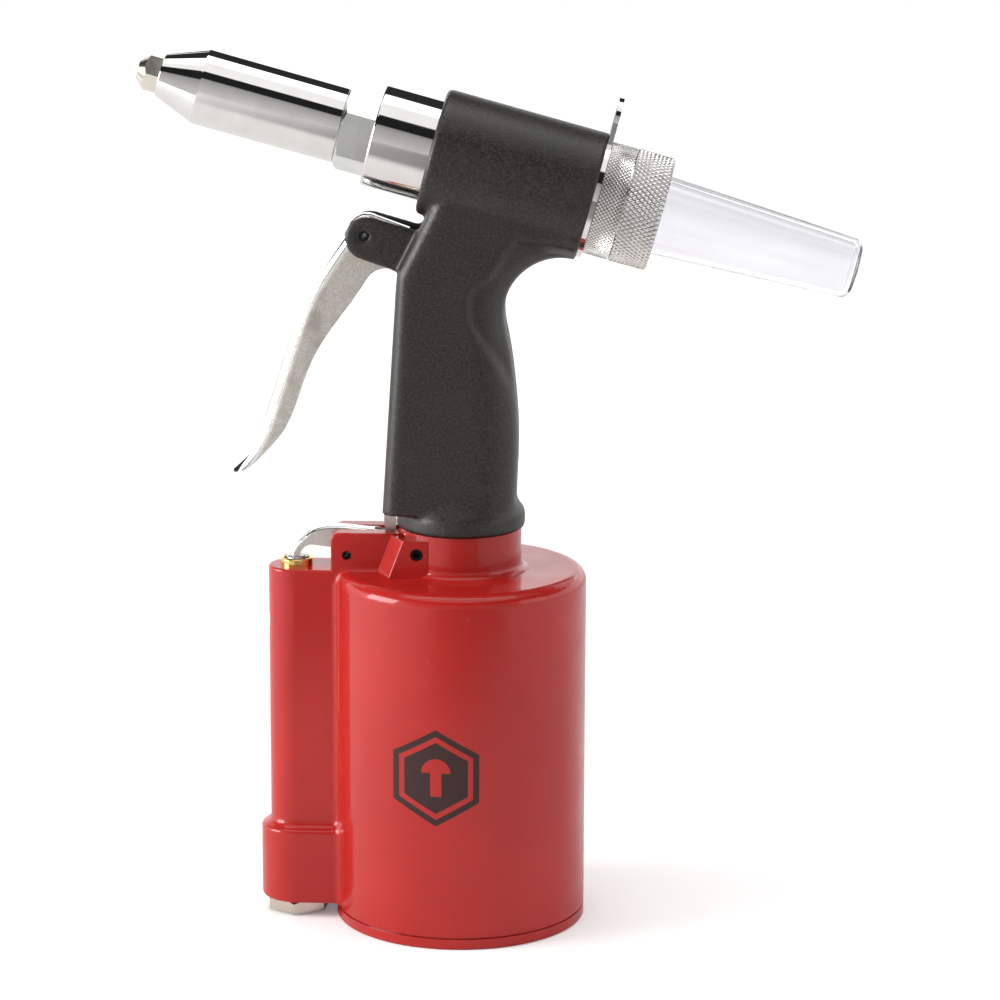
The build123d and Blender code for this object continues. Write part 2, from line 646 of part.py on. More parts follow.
# ---- trigger rod ----
BALL_R = 2.3
BALL_STATION = (216.2 - ROD_FOOT[1]) / cos(radians(ROD_LEAN))
with BuildPart() as trigger_rod:
    tube(ROD, -1.0, BALL_STATION, ROD_R)
    with BuildSketch(ROD):
        with Locations((BALL_STATION, 0)):
            Circle(BALL_R)
            Rectangle(2 * BALL_R, BALL_R, align=(Align.CENTER, Align.MAX), mode=Mode.SUBTRACT)
    revolve(axis=Axis(ROD.origin, ROD.x_dir))
    # Flat foot, and the narrow eye below it that enters the rocker's fork.
    with BuildSketch(SIDE):
        with Locations((-22.4, 133.9)):
            RectangleRounded(3.8, 5.6, 0.5, align=(Align.CENTER, Align.MAX))
    extrude(amount=ROCKER_HALF_WIDTH, both=True)
    with BuildSketch(SIDE):
        with Locations((-22.4, 129.0)):
            Rectangle(3.4, 7.2, align=(Align.CENTER, Align.MAX))
    extrude(amount=1.35, both=True)
    with BuildSketch(SIDE):
        with Locations(LINK_PIN):
            Circle(LINK_PIN_R)
    extrude(amount=2.0, both=True, mode=Mode.SUBTRACT)
finish(trigger_rod, "trigger_rod")

with BuildPart() as link_pin:
    with BuildSketch(SIDE):
        with Locations(LINK_PIN):
            Circle(LINK_PIN_R)
    extrude(amount=ROCKER_HALF_WIDTH, both=True)
finish(link_pin, "link_pin")

# ---- trigger ----
with BuildPart() as trigger:
    with BuildSketch(SIDE):
        with BuildLine():
            top = Line((-16.2, 223.8), (-26.4, 227.4))
            ThreePointArc(top @ 1, (-33.2, 227.3), (-36.6, 221.2))
            Spline(
                (-36.6, 221.2),
                (-42.2, 213.2),
                (-47.9, 203.6),
                (-53.4, 190.1),
                (-60.9, 166.8),
                (-65.5, 155.1),
                (-72.3, 146.6),
            )
            Line((-72.3, 146.6), (-71.7, 145.6))
            Spline(
                (-71.7, 145.6),
                (-66.9, 147.3),
                (-62.7, 151.3),
                (-55.9, 159.2),
                (-49.7, 174.7),
                (-44.3, 186.4),
                (-34.4, 200.5),
                (-29.6, 207.6),
            )
            ThreePointArc((-29.6, 207.6), (-26.7, 210.6), (-22.6, 211.6))
            Line((-22.6, 211.6), (-16.4, 208.6))
            Line((-16.4, 208.6), (-14.9, 209.8))
            Line((-14.9, 209.8), top @ 0)
        make_face()
    extrude(amount=TRIGGER_HALF_WIDTH, both=True)
    side_edges = trigger.edges().filter_by(
        lambda e: abs(abs(e.center().Y) - TRIGGER_HALF_WIDTH) < 0.01
    )
    hub_edges = side_edges.filter_by(lambda e: e.center().Z > TRIGGER_PIVOT[1] + 1)
    front_edges = side_edges.filter_by(lambda e: e.length > 50).sort_by(Axis.X)[:2]
    fillet(hub_edges + front_edges, TRIGGER_EDGE)
    # T-slot that lifts the rod's ball, open towards the handle.
    for half_width, low, high in ((1.7, 206.0, 214.0), (2.75, 213.5, 219.7)):
        with BuildSketch(SIDE):
            with BuildLine():
                Polyline((-22.2, low), (-12, low), (-12, high), (-22.2, high), close=True)
            make_face()
        extrude(amount=half_width, both=True, mode=Mode.SUBTRACT)
    with BuildSketch(SIDE):
        with Locations(TRIGGER_PIVOT):
            Circle(PIN_R + RUNNING_GAP)
    extrude(amount=TRIGGER_HALF_WIDTH + 1, both=True, mode=Mode.SUBTRACT)
finish(trigger, "trigger")

# ---- grip frame ----
OIL_BORE_TOP_Z = 226.0
HEAD_BORE_FRONT_S = -2.0
THREAD_FRONT_S = 38.0
SLEEVE_SPIGOT_R = 12.5
CAP_SPIGOT_R = 16.0
EAR_END = (-29.2, 221.2)
EAR_R = 6.8
OIL_PLUG_S = 0.4
OIL_PLUG_R = 2.2
with BuildPart() as grip_frame:
    # Handle: side outline at full width with its long edges rounded.
    with BuildSketch(SIDE):
        with BuildLine():
            front = Line((-24.2, HANDLE_BOTTOM_Z), (-19.8, 206.0))
            Line(front @ 1, (-19.3, 211.5))
            Line((-19.3, 211.5), (-11.5, 226.8))
            Line((-11.5, 226.8), head_point(-3.0, -2.0))
            Line(head_point(-3.0, -2.0), head_point(BARREL_REAR_S, -2.0))
            rear = Line(head_point(BARREL_REAR_S, -2.0), head_point(BARREL_REAR_S, -BARREL_R))
            Spline(rear @ 1, (24.0, 213.9), (16.5, 207.5), (13.7, 197.9))
            Spline(
                (13.7, 197.9),
                (14.7, 190.9),
                (17.0, 175.6),
                (18.2, 157.0),
                (17.6, 138.0),
                tangents=[(-0.02, -1), (-0.02, -1)],
            )
            Line((17.6, 138.0), (17.6, HANDLE_BOTTOM_Z))
            Line((17.6, HANDLE_BOTTOM_Z), front @ 0)
        make_face()
    extrude(amount=HANDLE_HALF_WIDTH, both=True)
    rear_edges = grip_frame.edges().filter_by(
        lambda e: abs(abs(e.center().Y) - HANDLE_HALF_WIDTH) < 0.01
        and e.center().X > 10
        and e.center().Z < 220
    )
    fillet(rear_edges, HANDLE_REAR_EDGE)
    front_edges = grip_frame.edges().filter_by(
        lambda e: abs(abs(e.center().Y) - HANDLE_HALF_WIDTH) < 0.01
        and e.center().X < -10
        and e.center().Z < 220
    )
    fillet(front_edges, HANDLE_FRONT_EDGE)
    # Round rim at the foot and the threaded spigot under it.
    turn(
        UPRIGHT,
        (NECK_TOP_Z, 0),
        (NECK_TOP_Z, RIM_R, 0.8),
        (133.6, RIM_R, 2.5),
        (140.0, 16.0),
        (140.0, 0),
    )
    tube(UPRIGHT, SPIGOT_BOTTOM_Z, NECK_TOP_Z + 1, SPIGOT_R)
    # Head barrel.
    turn(
        HEAD,
        (BARREL_FRONT_S, 0),
        (BARREL_FRONT_S, BARREL_R, 1.5),
        (BARREL_REAR_S, BARREL_R, 0.5),
        (BARREL_REAR_S, 0),
    )
    # Trigger ears, before the slot between them is cut.
    with BuildSketch(SIDE):
        with Locations(EAR_END):
            Circle(EAR_R)
        with BuildLine():
            Polyline(
                (-27.4, 227.75),
                (-12.0, 223.4),
                (-12.0, 208.9),
                (-17.0, 209.9),
                (-31.1, 214.7),
                close=True,
            )
        make_face()
    extrude(amount=TRIGGER_EAR_HALF_WIDTH, both=True)
    # Pocket for the trigger's inner arm.
    with BuildSketch(SIDE):
        with BuildLine():
            Polyline(
                (-40.0, 207.2),
                (-11.6, 207.2),
                (-11.6, 228.2),
                (-40.0, 232.0),
                close=True,
            )
        make_face()
    extrude(amount=TRIGGER_HALF_WIDTH + FREE_GAP, both=True, mode=Mode.SUBTRACT)
    # Oil bore, gland thread, port into the head and the head's own bores.
    tube(UPRIGHT, GLAND_TOP_Z - 1, OIL_BORE_TOP_Z, OIL_BORE_R, mode=Mode.SUBTRACT)
    tube(UPRIGHT, SPIGOT_BOTTOM_Z - 1, GLAND_TOP_Z, GLAND_R, mode=Mode.SUBTRACT)
    with BuildSketch(Plane.XY.offset(OIL_BORE_TOP_Z - 1)):
        with Locations((-3.45, 0)):
            Circle(2)
    extrude(amount=7, mode=Mode.SUBTRACT)
    bore_r = HYDRAULIC_R + RUNNING_GAP
    tube(HEAD, HEAD_BORE_FRONT_S, BARREL_REAR_S + 1, bore_r, mode=Mode.SUBTRACT)
    tube(HEAD, THREAD_FRONT_S, BARREL_REAR_S + 1, CAP_SPIGOT_R, mode=Mode.SUBTRACT)
    tube(HEAD, BARREL_FRONT_S - 1, 0, SLEEVE_SPIGOT_R, mode=Mode.SUBTRACT)
    # Channel for the trigger rod and the notch its foot rises into.
    tube(ROD, -5, 76, ROD_R + FREE_GAP, mode=Mode.SUBTRACT)
    with BuildSketch(SIDE):
        with BuildLine():
            Polyline((-26, 130), (-20.05, 130), (-20.05, 137.2), (-26, 137.2), close=True)
        make_face()
    extrude(amount=ROCKER_HALF_WIDTH + FREE_GAP, both=True, mode=Mode.SUBTRACT)
    with BuildSketch(SIDE):
        with Locations(TRIGGER_PIVOT):
            Circle(PIN_R)
    extrude(amount=TRIGGER_EAR_HALF_WIDTH + 1, both=True, mode=Mode.SUBTRACT)
    # Threaded hole for the oil plug, on the far side, into the oil space ahead of the piston.
    with BuildSketch(HEAD.offset(-BARREL_R - 1)):
        with Locations((OIL_PLUG_S, 0)):
            Circle(OIL_PLUG_R)
    extrude(amount=BARREL_R + 1 - HYDRAULIC_R + 1, mode=Mode.SUBTRACT)
finish(grip_frame, "grip_frame")

with BuildPart() as oil_plug:
    plug_face = HEAD.offset(-BARREL_R + 0.3)
    with BuildSketch(plug_face):
        with Locations((OIL_PLUG_S, 0)):
            Circle(OIL_PLUG_R)
    extrude(amount=4.2)
    with BuildSketch(plug_face):
        with Locations((OIL_PLUG_S, 0)):
            RegularPolygon(1.3, 6)
    extrude(amount=2.0, mode=Mode.SUBTRACT)
finish(oil_plug, "oil_plug")

# ---- head ----
SLEEVE_REAR_S = HEAD_BORE_FRONT_S - 0.2
SLEEVE_TIP_S = -50.0
SLEEVE_TIP_R = 10.3
ROD_GROOVE_S = -6.5
with BuildPart() as head_sleeve:
    turn(
        HEAD,
        (SLEEVE_TIP_S, PULL_ROD_R + RUNNING_GAP),
        (SLEEVE_TIP_S, SLEEVE_TIP_R),
        (SLEEVE_FRONT_S, SLEEVE_TIP_R),
        (SLEEVE_FRONT_S, SLEEVE_R, 0.7),
        (BARREL_FRONT_S, SLEEVE_R),
        (BARREL_FRONT_S, SLEEVE_SPIGOT_R),
        (SLEEVE_REAR_S, SLEEVE_SPIGOT_R),
        (SLEEVE_REAR_S, PULL_ROD_R + RUNNING_GAP),
    )
    tube(HEAD, ROD_GROOVE_S, ROD_GROOVE_S + 2.8, 10.2, PULL_ROD_R, mode=Mode.SUBTRACT)
finish(head_sleeve, "head_sleeve")

with BuildPart() as rod_seal:
    seal_ring(HEAD, ROD_GROOVE_S + 1.4, PULL_ROD_R + 0.02, 10.2)
finish(rod_seal, "rod_seal")

with BuildPart() as lock_nut:
    hexagon(HEAD, FRAME_HEAD_REAR_S, SLEEVE_FRONT_S, LOCK_NUT_HEX, LOCK_NUT_TURN)
    tube(HEAD, FRAME_HEAD_REAR_S - 1, SLEEVE_FRONT_S + 1, SLEEVE_TIP_R, mode=Mode.SUBTRACT)
finish(lock_nut, "lock_nut")

CONE_REAR_S = -83.7
JAW_CASE_R = 9.5
with BuildPart() as frame_head:
    turn(
        HEAD,
        (FRAME_HEAD_FRONT_S, 4.8),
        (FRAME_HEAD_FRONT_S, 6.8, 0.5),
        (CONE_REAR_S, FRAME_HEAD_R, 1.0),
        (FRAME_HEAD_REAR_S, FRAME_HEAD_R - 0.1, 0.4),
        (FRAME_HEAD_REAR_S, SLEEVE_TIP_R),
        (SLEEVE_TIP_S, SLEEVE_TIP_R),
        (SLEEVE_TIP_S, JAW_CASE_R + 0.1),
        (-84.0, JAW_CASE_R + 0.1),
        (-90.0, 5.4),
        (-90.0, 4.8),
    )
finish(frame_head, "frame_head")

with BuildPart() as nosepiece:
    hexagon(
        HEAD, NOSE_TIP_S, FRAME_HEAD_FRONT_S, NOSE_HEX, NOSE_HEX_TURN,
        end_r=NOSE_CONE_R, cone_deg=NOSE_CONE_DEG,
    )
    turn(
        HEAD,
        (FRAME_HEAD_FRONT_S, 0),
        (FRAME_HEAD_FRONT_S, 4.8),
        (-91.0, 4.8),
        (-90.4, 4.0),
        (-88.4, 2.6),
        (-88.4, 0),
    )
    tube(HEAD, NOSE_TIP_S - 1, -88, MANDREL_R, mode=Mode.SUBTRACT)
finish(nosepiece, "nosepiece")

CASE_REAR_S = -66.0
COUPLER_TIP_S = -71.0
COUPLER_TIP_R = 7.3
TAPER_FRONT_S, TAPER_REAR_S = -88.0, -76.5
TAPER_FRONT_R = 4.6
with BuildPart() as jaw_case:
    turn(
        HEAD,
        (-89.2, 3.9),
        (-89.2, 5.3),
        (-84.4, JAW_CASE_R - 0.6),
        (-83.0, JAW_CASE_R),
        (CASE_REAR_S, JAW_CASE_R),
        (CASE_REAR_S, COUPLER_TIP_R),
        (TAPER_REAR_S, COUPLER_TIP_R),
        (TAPER_REAR_S, TAPER_FRONT_R + 2.0),
        (TAPER_FRONT_S, TAPER_FRONT_R),
        (TAPER_FRONT_S, 3.9),
    )
finish(jaw_case, "jaw_case")

TAPER_SLOPE = 2.0 / (TAPER_REAR_S - TAPER_FRONT_S)
JAW_FRONT_S, JAW_REAR_S = -86.0, -77.5
JAW_GAP = 0.25
for number in (1, 2, 3):
    jaw_name = f"jaw_{number}"
    with BuildPart() as jaw:
        turn(
            HEAD,
            (JAW_FRONT_S, 2.0),
            (JAW_FRONT_S, TAPER_FRONT_R - JAW_GAP + TAPER_SLOPE * (JAW_FRONT_S - TAPER_FRONT_S)),
            (JAW_REAR_S, TAPER_FRONT_R - JAW_GAP + TAPER_SLOPE * (JAW_REAR_S - TAPER_FRONT_S)),
            (JAW_REAR_S, 2.0),
        )
        # Keep one third of the cone, its sides 0.7 mm inside the dividing planes.
        with BuildSketch(across(HEAD, JAW_FRONT_S - 1)):
            with BuildLine():
                middle = radians(120 * number)
                apex = (1.4 * cos(middle), 1.4 * sin(middle))
                reach = [
                    (apex[0] + 20 * cos(middle + turn_by), apex[1] + 20 * sin(middle + turn_by))
                    for turn_by in (-pi / 3, pi / 3)
                ]
                Polyline(apex, *reach, close=True)
            make_face()
        extrude(amount=JAW_REAR_S - JAW_FRONT_S + 2, mode=Mode.INTERSECT)
    finish(jaw, jaw_name)

PUSHER_FRONT_S = JAW_REAR_S + FREE_GAP
with BuildPart() as jaw_pusher:
    turn(
        HEAD,
        (PUSHER_FRONT_S, 2.5),
        (PUSHER_FRONT_S, 5.2),
        (PUSHER_FRONT_S + 1.8, 5.2),
        (PUSHER_FRONT_S + 1.8, PASSAGE_R - 0.1),
        (-69.0, PASSAGE_R - 0.1),
        (-69.0, 2.5),
    )
finish(jaw_pusher, "jaw_pusher")

with BuildPart() as jaw_pusher_spring:
    coil(HEAD, PUSHER_FRONT_S + 1.8, COUPLER_TIP_S, 4.4, 0.35, 3)
finish(jaw_pusher_spring, "jaw_pusher_spring")

JOINT_S = -45.0
JOINT_TIP_S = -53.0
JOINT_R = 5.5
with BuildPart() as jaw_coupler:
    turn(
        HEAD,
        (COUPLER_TIP_S, PASSAGE_R),
        (COUPLER_TIP_S, COUPLER_TIP_R),
        (CASE_REAR_S, COUPLER_TIP_R),
        (CASE_REAR_S, PULL_ROD_R),
        (JOINT_S, PULL_ROD_R),
        (JOINT_S, JOINT_R),
        (JOINT_TIP_S, JOINT_R),
        (JOINT_TIP_S, PASSAGE_R),
    )
finish(jaw_coupler, "jaw_coupler")

PISTON_FRONT_S = 3.0
PISTON_REAR_S = 13.0
with BuildPart() as hydraulic_piston:
    turn(
        HEAD,
        (JOINT_TIP_S, PASSAGE_R),
        (JOINT_TIP_S, JOINT_R),
        (JOINT_S, JOINT_R),
        (JOINT_S, PULL_ROD_R),
        (PISTON_FRONT_S, PULL_ROD_R),
        (PISTON_FRONT_S, HYDRAULIC_R, 0.4),
        (PISTON_REAR_S, HYDRAULIC_R, 0.4),
        (PISTON_REAR_S, REAR_TUBE_R),
        (CAP_REAR_S + 1.5, REAR_TUBE_R),
        (CAP_REAR_S + 1.5, PASSAGE_R),
    )
    tube(HEAD, 6.5, 9.7, HYDRAULIC_R + 1, HYDRAULIC_R - 2.6, mode=Mode.SUBTRACT)
finish(hydraulic_piston, "hydraulic_piston")

with BuildPart() as hydraulic_seal:
    seal_ring(HEAD, 8.1, HYDRAULIC_R - 2.6, HYDRAULIC_R + 0.02)
finish(hydraulic_seal, "hydraulic_seal")

with BuildPart() as return_spring:
    coil(HEAD, PISTON_REAR_S, THREAD_FRONT_S, 11.2, 0.95, 4.5)
finish(return_spring, "return_spring")

COLLECTOR_SPIGOT_R = 14.2
COLLECTOR_GROOVE_S = 54.0
with BuildPart() as frame_cap:
    turn(
        HEAD,
        (THREAD_FRONT_S, REAR_TUBE_R + RUNNING_GAP),
        (THREAD_FRONT_S, CAP_SPIGOT_R),
        (HANGER_REAR_S, CAP_SPIGOT_R),
        (HANGER_REAR_S, RING_R - 0.1, 0.6),
        (CAP_REAR_S, RING_R - 0.1, 0.6),
        (CAP_REAR_S, COLLECTOR_SPIGOT_R),
        (57.4, COLLECTOR_SPIGOT_R, 0.6),
        (57.4, REAR_TUBE_R + RUNNING_GAP),
    )
    groove_end = COLLECTOR_GROOVE_S + 2.2
    groove_r = COLLECTOR_SPIGOT_R - 1.6
    tube(HEAD, COLLECTOR_GROOVE_S, groove_end, COLLECTOR_SPIGOT_R + 1, groove_r, mode=Mode.SUBTRACT)
finish(frame_cap, "frame_cap")

with BuildPart() as collector_oring:
    seal_ring(HEAD, COLLECTOR_GROOVE_S + 1.1, groove_r, COLLECTOR_SPIGOT_R + FREE_GAP - 0.04)
finish(collector_oring, "collector_oring")

TAB_TOP_R = 32.0
TAB_HALF_WIDTH = 7.5
HANGER_HOLE_R = 4.0
with BuildPart() as hanger_plate:
    with BuildSketch(across(HEAD, BARREL_REAR_S)):
        Circle(BARREL_R - 0.5)
        with Locations((0, TAB_TOP_R - TAB_HALF_WIDTH)):
            Circle(TAB_HALF_WIDTH)
            Rectangle(2 * TAB_HALF_WIDTH, 24, align=(Align.CENTER, Align.MAX))
        Circle(CAP_SPIGOT_R, mode=Mode.SUBTRACT)
        with Locations((0, TAB_TOP_R - TAB_HALF_WIDTH)):
            Circle(HANGER_HOLE_R, mode=Mode.SUBTRACT)
    extrude(amount=HANGER_REAR_S - BARREL_REAR_S)
finish(hanger_plate, "hanger_plate")

COLLAR_FRONT_S = CAP_REAR_S + 0.15
TUBE_FLANGE_S = 58.6
TUBE_R = 12.5
with BuildPart() as collector_collar:
    turn(
        HEAD,
        (COLLAR_FRONT_S, COLLECTOR_SPIGOT_R + FREE_GAP),
        (COLLAR_FRONT_S, RING_R, 1.0),
        (COLLAR_REAR_S, RING_R, 1.0),
        (COLLAR_REAR_S, TUBE_R),
        (TUBE_FLANGE_S + 2, TUBE_R),
        (TUBE_FLANGE_S + 2, COLLECTOR_SPIGOT_R + FREE_GAP),
    )
finish(collector_collar, "collector_collar")

TUBE_WALL = 1.5
TUBE_END_R = 9.4
with BuildPart() as collector_tube:
    turn(
        HEAD,
        (TUBE_FLANGE_S, TUBE_R - TUBE_WALL),
        (TUBE_FLANGE_S, COLLECTOR_SPIGOT_R + FREE_GAP),
        (TUBE_FLANGE_S + 2, COLLECTOR_SPIGOT_R + FREE_GAP),
        (TUBE_FLANGE_S + 2, TUBE_R),
        (COLLAR_REAR_S, TUBE_R),
        (COLLECTOR_END_S, TUBE_END_R, 2.8),
        (COLLECTOR_END_S, 0),
        (COLLECTOR_END_S - TUBE_WALL, 0),
        (COLLECTOR_END_S - TUBE_WALL, TUBE_END_R - TUBE_WALL, 1.6),
        (COLLAR_REAR_S, TUBE_R - TUBE_WALL),
    )
finish(collector_tube, "collector_tube")
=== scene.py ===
from collections import namedtuple
from math import cos, pi, radians, sin

import bpy
import numpy as np
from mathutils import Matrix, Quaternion, Vector


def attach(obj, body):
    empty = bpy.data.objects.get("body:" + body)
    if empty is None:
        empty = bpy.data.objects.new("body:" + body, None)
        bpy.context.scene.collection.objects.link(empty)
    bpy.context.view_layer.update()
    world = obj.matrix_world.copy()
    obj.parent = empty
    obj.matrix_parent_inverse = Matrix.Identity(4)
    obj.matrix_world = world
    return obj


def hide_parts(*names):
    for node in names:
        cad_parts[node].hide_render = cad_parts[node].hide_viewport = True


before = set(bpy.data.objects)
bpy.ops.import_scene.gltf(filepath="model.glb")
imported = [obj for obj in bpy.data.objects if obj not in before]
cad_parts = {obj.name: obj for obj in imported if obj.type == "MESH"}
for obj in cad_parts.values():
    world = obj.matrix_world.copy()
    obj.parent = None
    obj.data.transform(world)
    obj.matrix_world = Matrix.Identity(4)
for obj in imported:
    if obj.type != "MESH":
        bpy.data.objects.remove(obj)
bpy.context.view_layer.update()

SCENE = bpy.context.scene
MM = 0.001

# ---- the head's axis, as in the CAD: station s runs rearwards along it ----
HEAD_TILT = radians(15.2)
HEAD_HEIGHT = 245.4
HEAD_ORIGIN = Vector((0, 0, HEAD_HEIGHT * MM))
HEAD_AXIS = Vector((cos(HEAD_TILT), 0, -sin(HEAD_TILT)))
HEAD_UP = Vector((sin(HEAD_TILT), 0, cos(HEAD_TILT)))
SIDEWAYS = Vector((0, 1, 0))


def add_node(tree, kind, inputs=None, **settings):
    """Adds a node whose inputs are each a value or another node's socket."""
    made = tree.nodes.new(kind)
    for key, value in settings.items():
        setattr(made, key, value)
    for key, value in (inputs or {}).items():
        if isinstance(value, bpy.types.NodeSocket):
            tree.links.new(value, made.inputs[key])
        else:
            made.inputs[key].default_value = value
    return made


# ---------------------------------------------------------------- materials
class Look:
    """A procedural material built round one Principled shader."""

    def __init__(self, name, **values):
        self.material = bpy.data.materials.new(name)
        self.material.use_nodes = True
        self.tree = self.material.node_tree
        self.shader = self.tree.nodes["Principled BSDF"]
        self.place = self.node("ShaderNodeTexCoord").outputs
        self.point = self.place["Object"]
        self.normal = None
        for socket, value in values.items():
            self.set(socket.replace("_", " "), value)

    def set(self, socket, value):
        target = self.shader.inputs[socket]
        if isinstance(value, bpy.types.NodeSocket):
            self.tree.links.new(value, target)
        else:
            target.default_value = value

    def node(self, kind, inputs=None, **settings):
        return add_node(self.tree, kind, inputs, **settings)

    def math(self, operation, a, b=0.0, clamp=False):
        made = self.node("ShaderNodeMath", {0: a, 1: b}, operation=operation, use_clamp=clamp)
        return made.outputs[0]

    def length(self, a, b):
        """Length of the vector whose two components are given."""
        squares = self.math("ADD", self.math("POWER", a, 2.0), self.math("POWER", b, 2.0))
        return self.math("SQRT", squares)

    def fit(self, value, low, high, to_low=0.0, to_high=1.0):
        """Maps a value from one range to another, eased and held at the ends."""
        inputs = {"Value": value, "From Min": low, "From Max": high, "To Min": to_low, "To Max": to_high}
        made = self.node("ShaderNodeMapRange", inputs, interpolation_type="SMOOTHSTEP")
        return made.outputs["Result"]

    def scaled(self, size_mm, stretch=(1, 1, 1), turn_y=0.0):
        """Object coordinates counted in features of that size, stretched along chosen axes."""
        turned = self.node("ShaderNodeMapping", {"Vector": self.point, "Rotation": (0, turn_y, 0)})
        scale = tuple(1 / (size_mm * MM * s) for s in stretch)
        sized = self.node("ShaderNodeMapping", {"Vector": turned.outputs[0], "Scale": scale})
        return sized.outputs[0]

    def noise(self, size_mm, detail=3.0, rough=0.5, **how):
        inputs = {"Vector": self.scaled(size_mm, **how), "Scale": 1.0, "Detail": detail, "Roughness": rough}
        return self.node("ShaderNodeTexNoise", inputs).outputs["Fac"]

    def specks(self, size_mm, share, **how):
        """1 in small dots scattered at about one for each cell of that size, where share is their radius."""
        inputs = {"Vector": self.scaled(size_mm, **how), "Scale": 1.0}
        made = self.node("ShaderNodeTexVoronoi", inputs, feature="F1")
        return self.fit(made.outputs["Distance"], share, share * 0.6)

    def mix(self, factor, a, b):
        """Colour a where factor is 0, b where it is 1."""
        inputs = {0: factor, 6: self.colour(a), 7: self.colour(b)}
        return self.node("ShaderNodeMix", inputs, data_type="RGBA").outputs[2]

    def colour(self, value):
        return value if isinstance(value, bpy.types.NodeSocket) else (*value, 1.0)

    def bump(self, height, depth_mm, strength=1.0):
        inputs = {"Height": height, "Distance": depth_mm * MM, "Strength": strength}
        if self.normal is not None:
            inputs["Normal"] = self.normal
        self.normal = self.node("ShaderNodeBump", inputs).outputs["Normal"]
        self.set("Normal", self.normal)

    def split(self, vector):
        return self.node("ShaderNodeSeparateXYZ", {0: vector}).outputs


def enamel():
    """Gloss red enamel with a printed dark mark on the cylinder's near side."""
    look = Look("red_enamel_paint", Coat_IOR=1.5, Specular_IOR_Level=0.2)
    broad = look.noise(45, detail=2.0)
    fine = look.noise(1.6, detail=3.0)
    base = look.mix(look.fit(broad, 0.3, 0.7), (0.40, 0.0075, 0.0042), (0.46, 0.0100, 0.0060))
    base = look.mix(look.math("MULTIPLY", fine, 0.15), base, (0.25, 0.004, 0.004))
    dust = look.math("MULTIPLY", look.specks(7.0, 0.028), 0.6)
    base = look.mix(dust, base, (0.72, 0.22, 0.18))
    scuffs = look.fit(look.noise(3.5, detail=6.0, rough=0.7), 0.70, 0.80)
    base = look.mix(look.math("MULTIPLY", scuffs, 0.25), base, (0.60, 0.10, 0.09))
    mark = printed_mark(look)
    base = look.mix(look.math("MULTIPLY", mark, 0.95), base, (0.022, 0.018, 0.017))
    look.set("Base Color", base)
    look.set("Roughness", look.fit(look.noise(14, detail=4), 0.3, 0.7, 0.34, 0.46))
    look.set("Coat Weight", look.fit(mark, 0.0, 1.0, 0.7, 0.2))
    look.set("Coat Roughness", look.fit(look.noise(6, detail=4), 0.3, 0.75, 0.03, 0.09))
    look.bump(look.noise(3.2, detail=2.0), 0.006)
    return look.material


MARK_CENTRE = (-5.6 * MM, 56.3 * MM)
MARK_SIZE = 13.6 * MM
# The slope of the hexagon's upper sides, and the mark's parts as shares of its size.
COS_60, SIN_60 = 0.5, 0.866
OUTLINE_INSIDE, PLATE = 0.86, 0.74
DOME_FOOT, DOME_R = 0.12, 0.34
SHANK_HALF_WIDTH, SHANK_LOW, SHANK_HIGH = 0.13, -0.44, 0.14


def printed_mark(look):
    """1 inside a plain hexagonal outline with a rivet's side view in it, on the near side of the cylinder."""
    x, y, z = look.split(look.point)
    across = look.math("SUBTRACT", x, MARK_CENTRE[0])
    up = look.math("SUBTRACT", z, MARK_CENTRE[1])

    def hexagon(half):
        reach = look.math("ABSOLUTE", across)
        rise = look.math("MULTIPLY", look.math("ABSOLUTE", up), SIN_60)
        slope = look.math("ADD", look.math("MULTIPLY", reach, COS_60), rise)
        return look.math("LESS_THAN", look.math("MAXIMUM", reach, slope), half)

    def band(value, low, high):
        return look.math(
            "MULTIPLY", look.math("GREATER_THAN", value, low), look.math("LESS_THAN", value, high)
        )

    size = MARK_SIZE
    outline = look.math("SUBTRACT", hexagon(size), hexagon(size * OUTLINE_INSIDE))
    plate = hexagon(size * PLATE)
    width = look.math("ABSOLUTE", across)
    dome_up = look.math("SUBTRACT", up, size * DOME_FOOT)
    in_dome = look.math("LESS_THAN", look.length(across, dome_up), size * DOME_R)
    dome = look.math("MULTIPLY", in_dome, look.math("GREATER_THAN", dome_up, 0.0))
    in_shank = look.math("LESS_THAN", width, size * SHANK_HALF_WIDTH)
    shank = look.math("MULTIPLY", in_shank, band(up, size * SHANK_LOW, size * SHANK_HIGH))
    rivet = look.math("MAXIMUM", dome, shank)
    inside = look.math("MULTIPLY", plate, look.math("SUBTRACT", 1.0, rivet))
    near = look.math("LESS_THAN", y, -20 * MM)
    return look.math("MULTIPLY", look.math("ADD", outline, inside), near)


def black_coat():
    """Matt black coating over a casting, with a fine grain and pale specks."""
    look = Look("black_grained_coat", Specular_IOR_Level=0.52)
    grain = look.noise(0.75, detail=3.0, rough=0.6)
    broad = look.noise(16, detail=3.0)
    base = look.mix(look.fit(grain, 0.35, 0.72), (0.0070, 0.0060, 0.0050), (0.034, 0.0290, 0.0245))
    base = look.mix(look.math("MULTIPLY", look.fit(broad, 0.35, 0.7), 0.35), base, (0.026, 0.021, 0.017))
    specks = look.math("MULTIPLY", look.specks(2.0, 0.075), look.fit(look.noise(12), 0.46, 0.6))
    base = look.mix(look.math("MULTIPLY", specks, 0.55), base, (0.17, 0.16, 0.145))
    look.set("Base Color", base)
    look.set("Roughness", look.fit(grain, 0.3, 0.7, 0.32, 0.50))
    look.bump(broad, 0.06)
    look.bump(grain, 0.085)
    return look.material


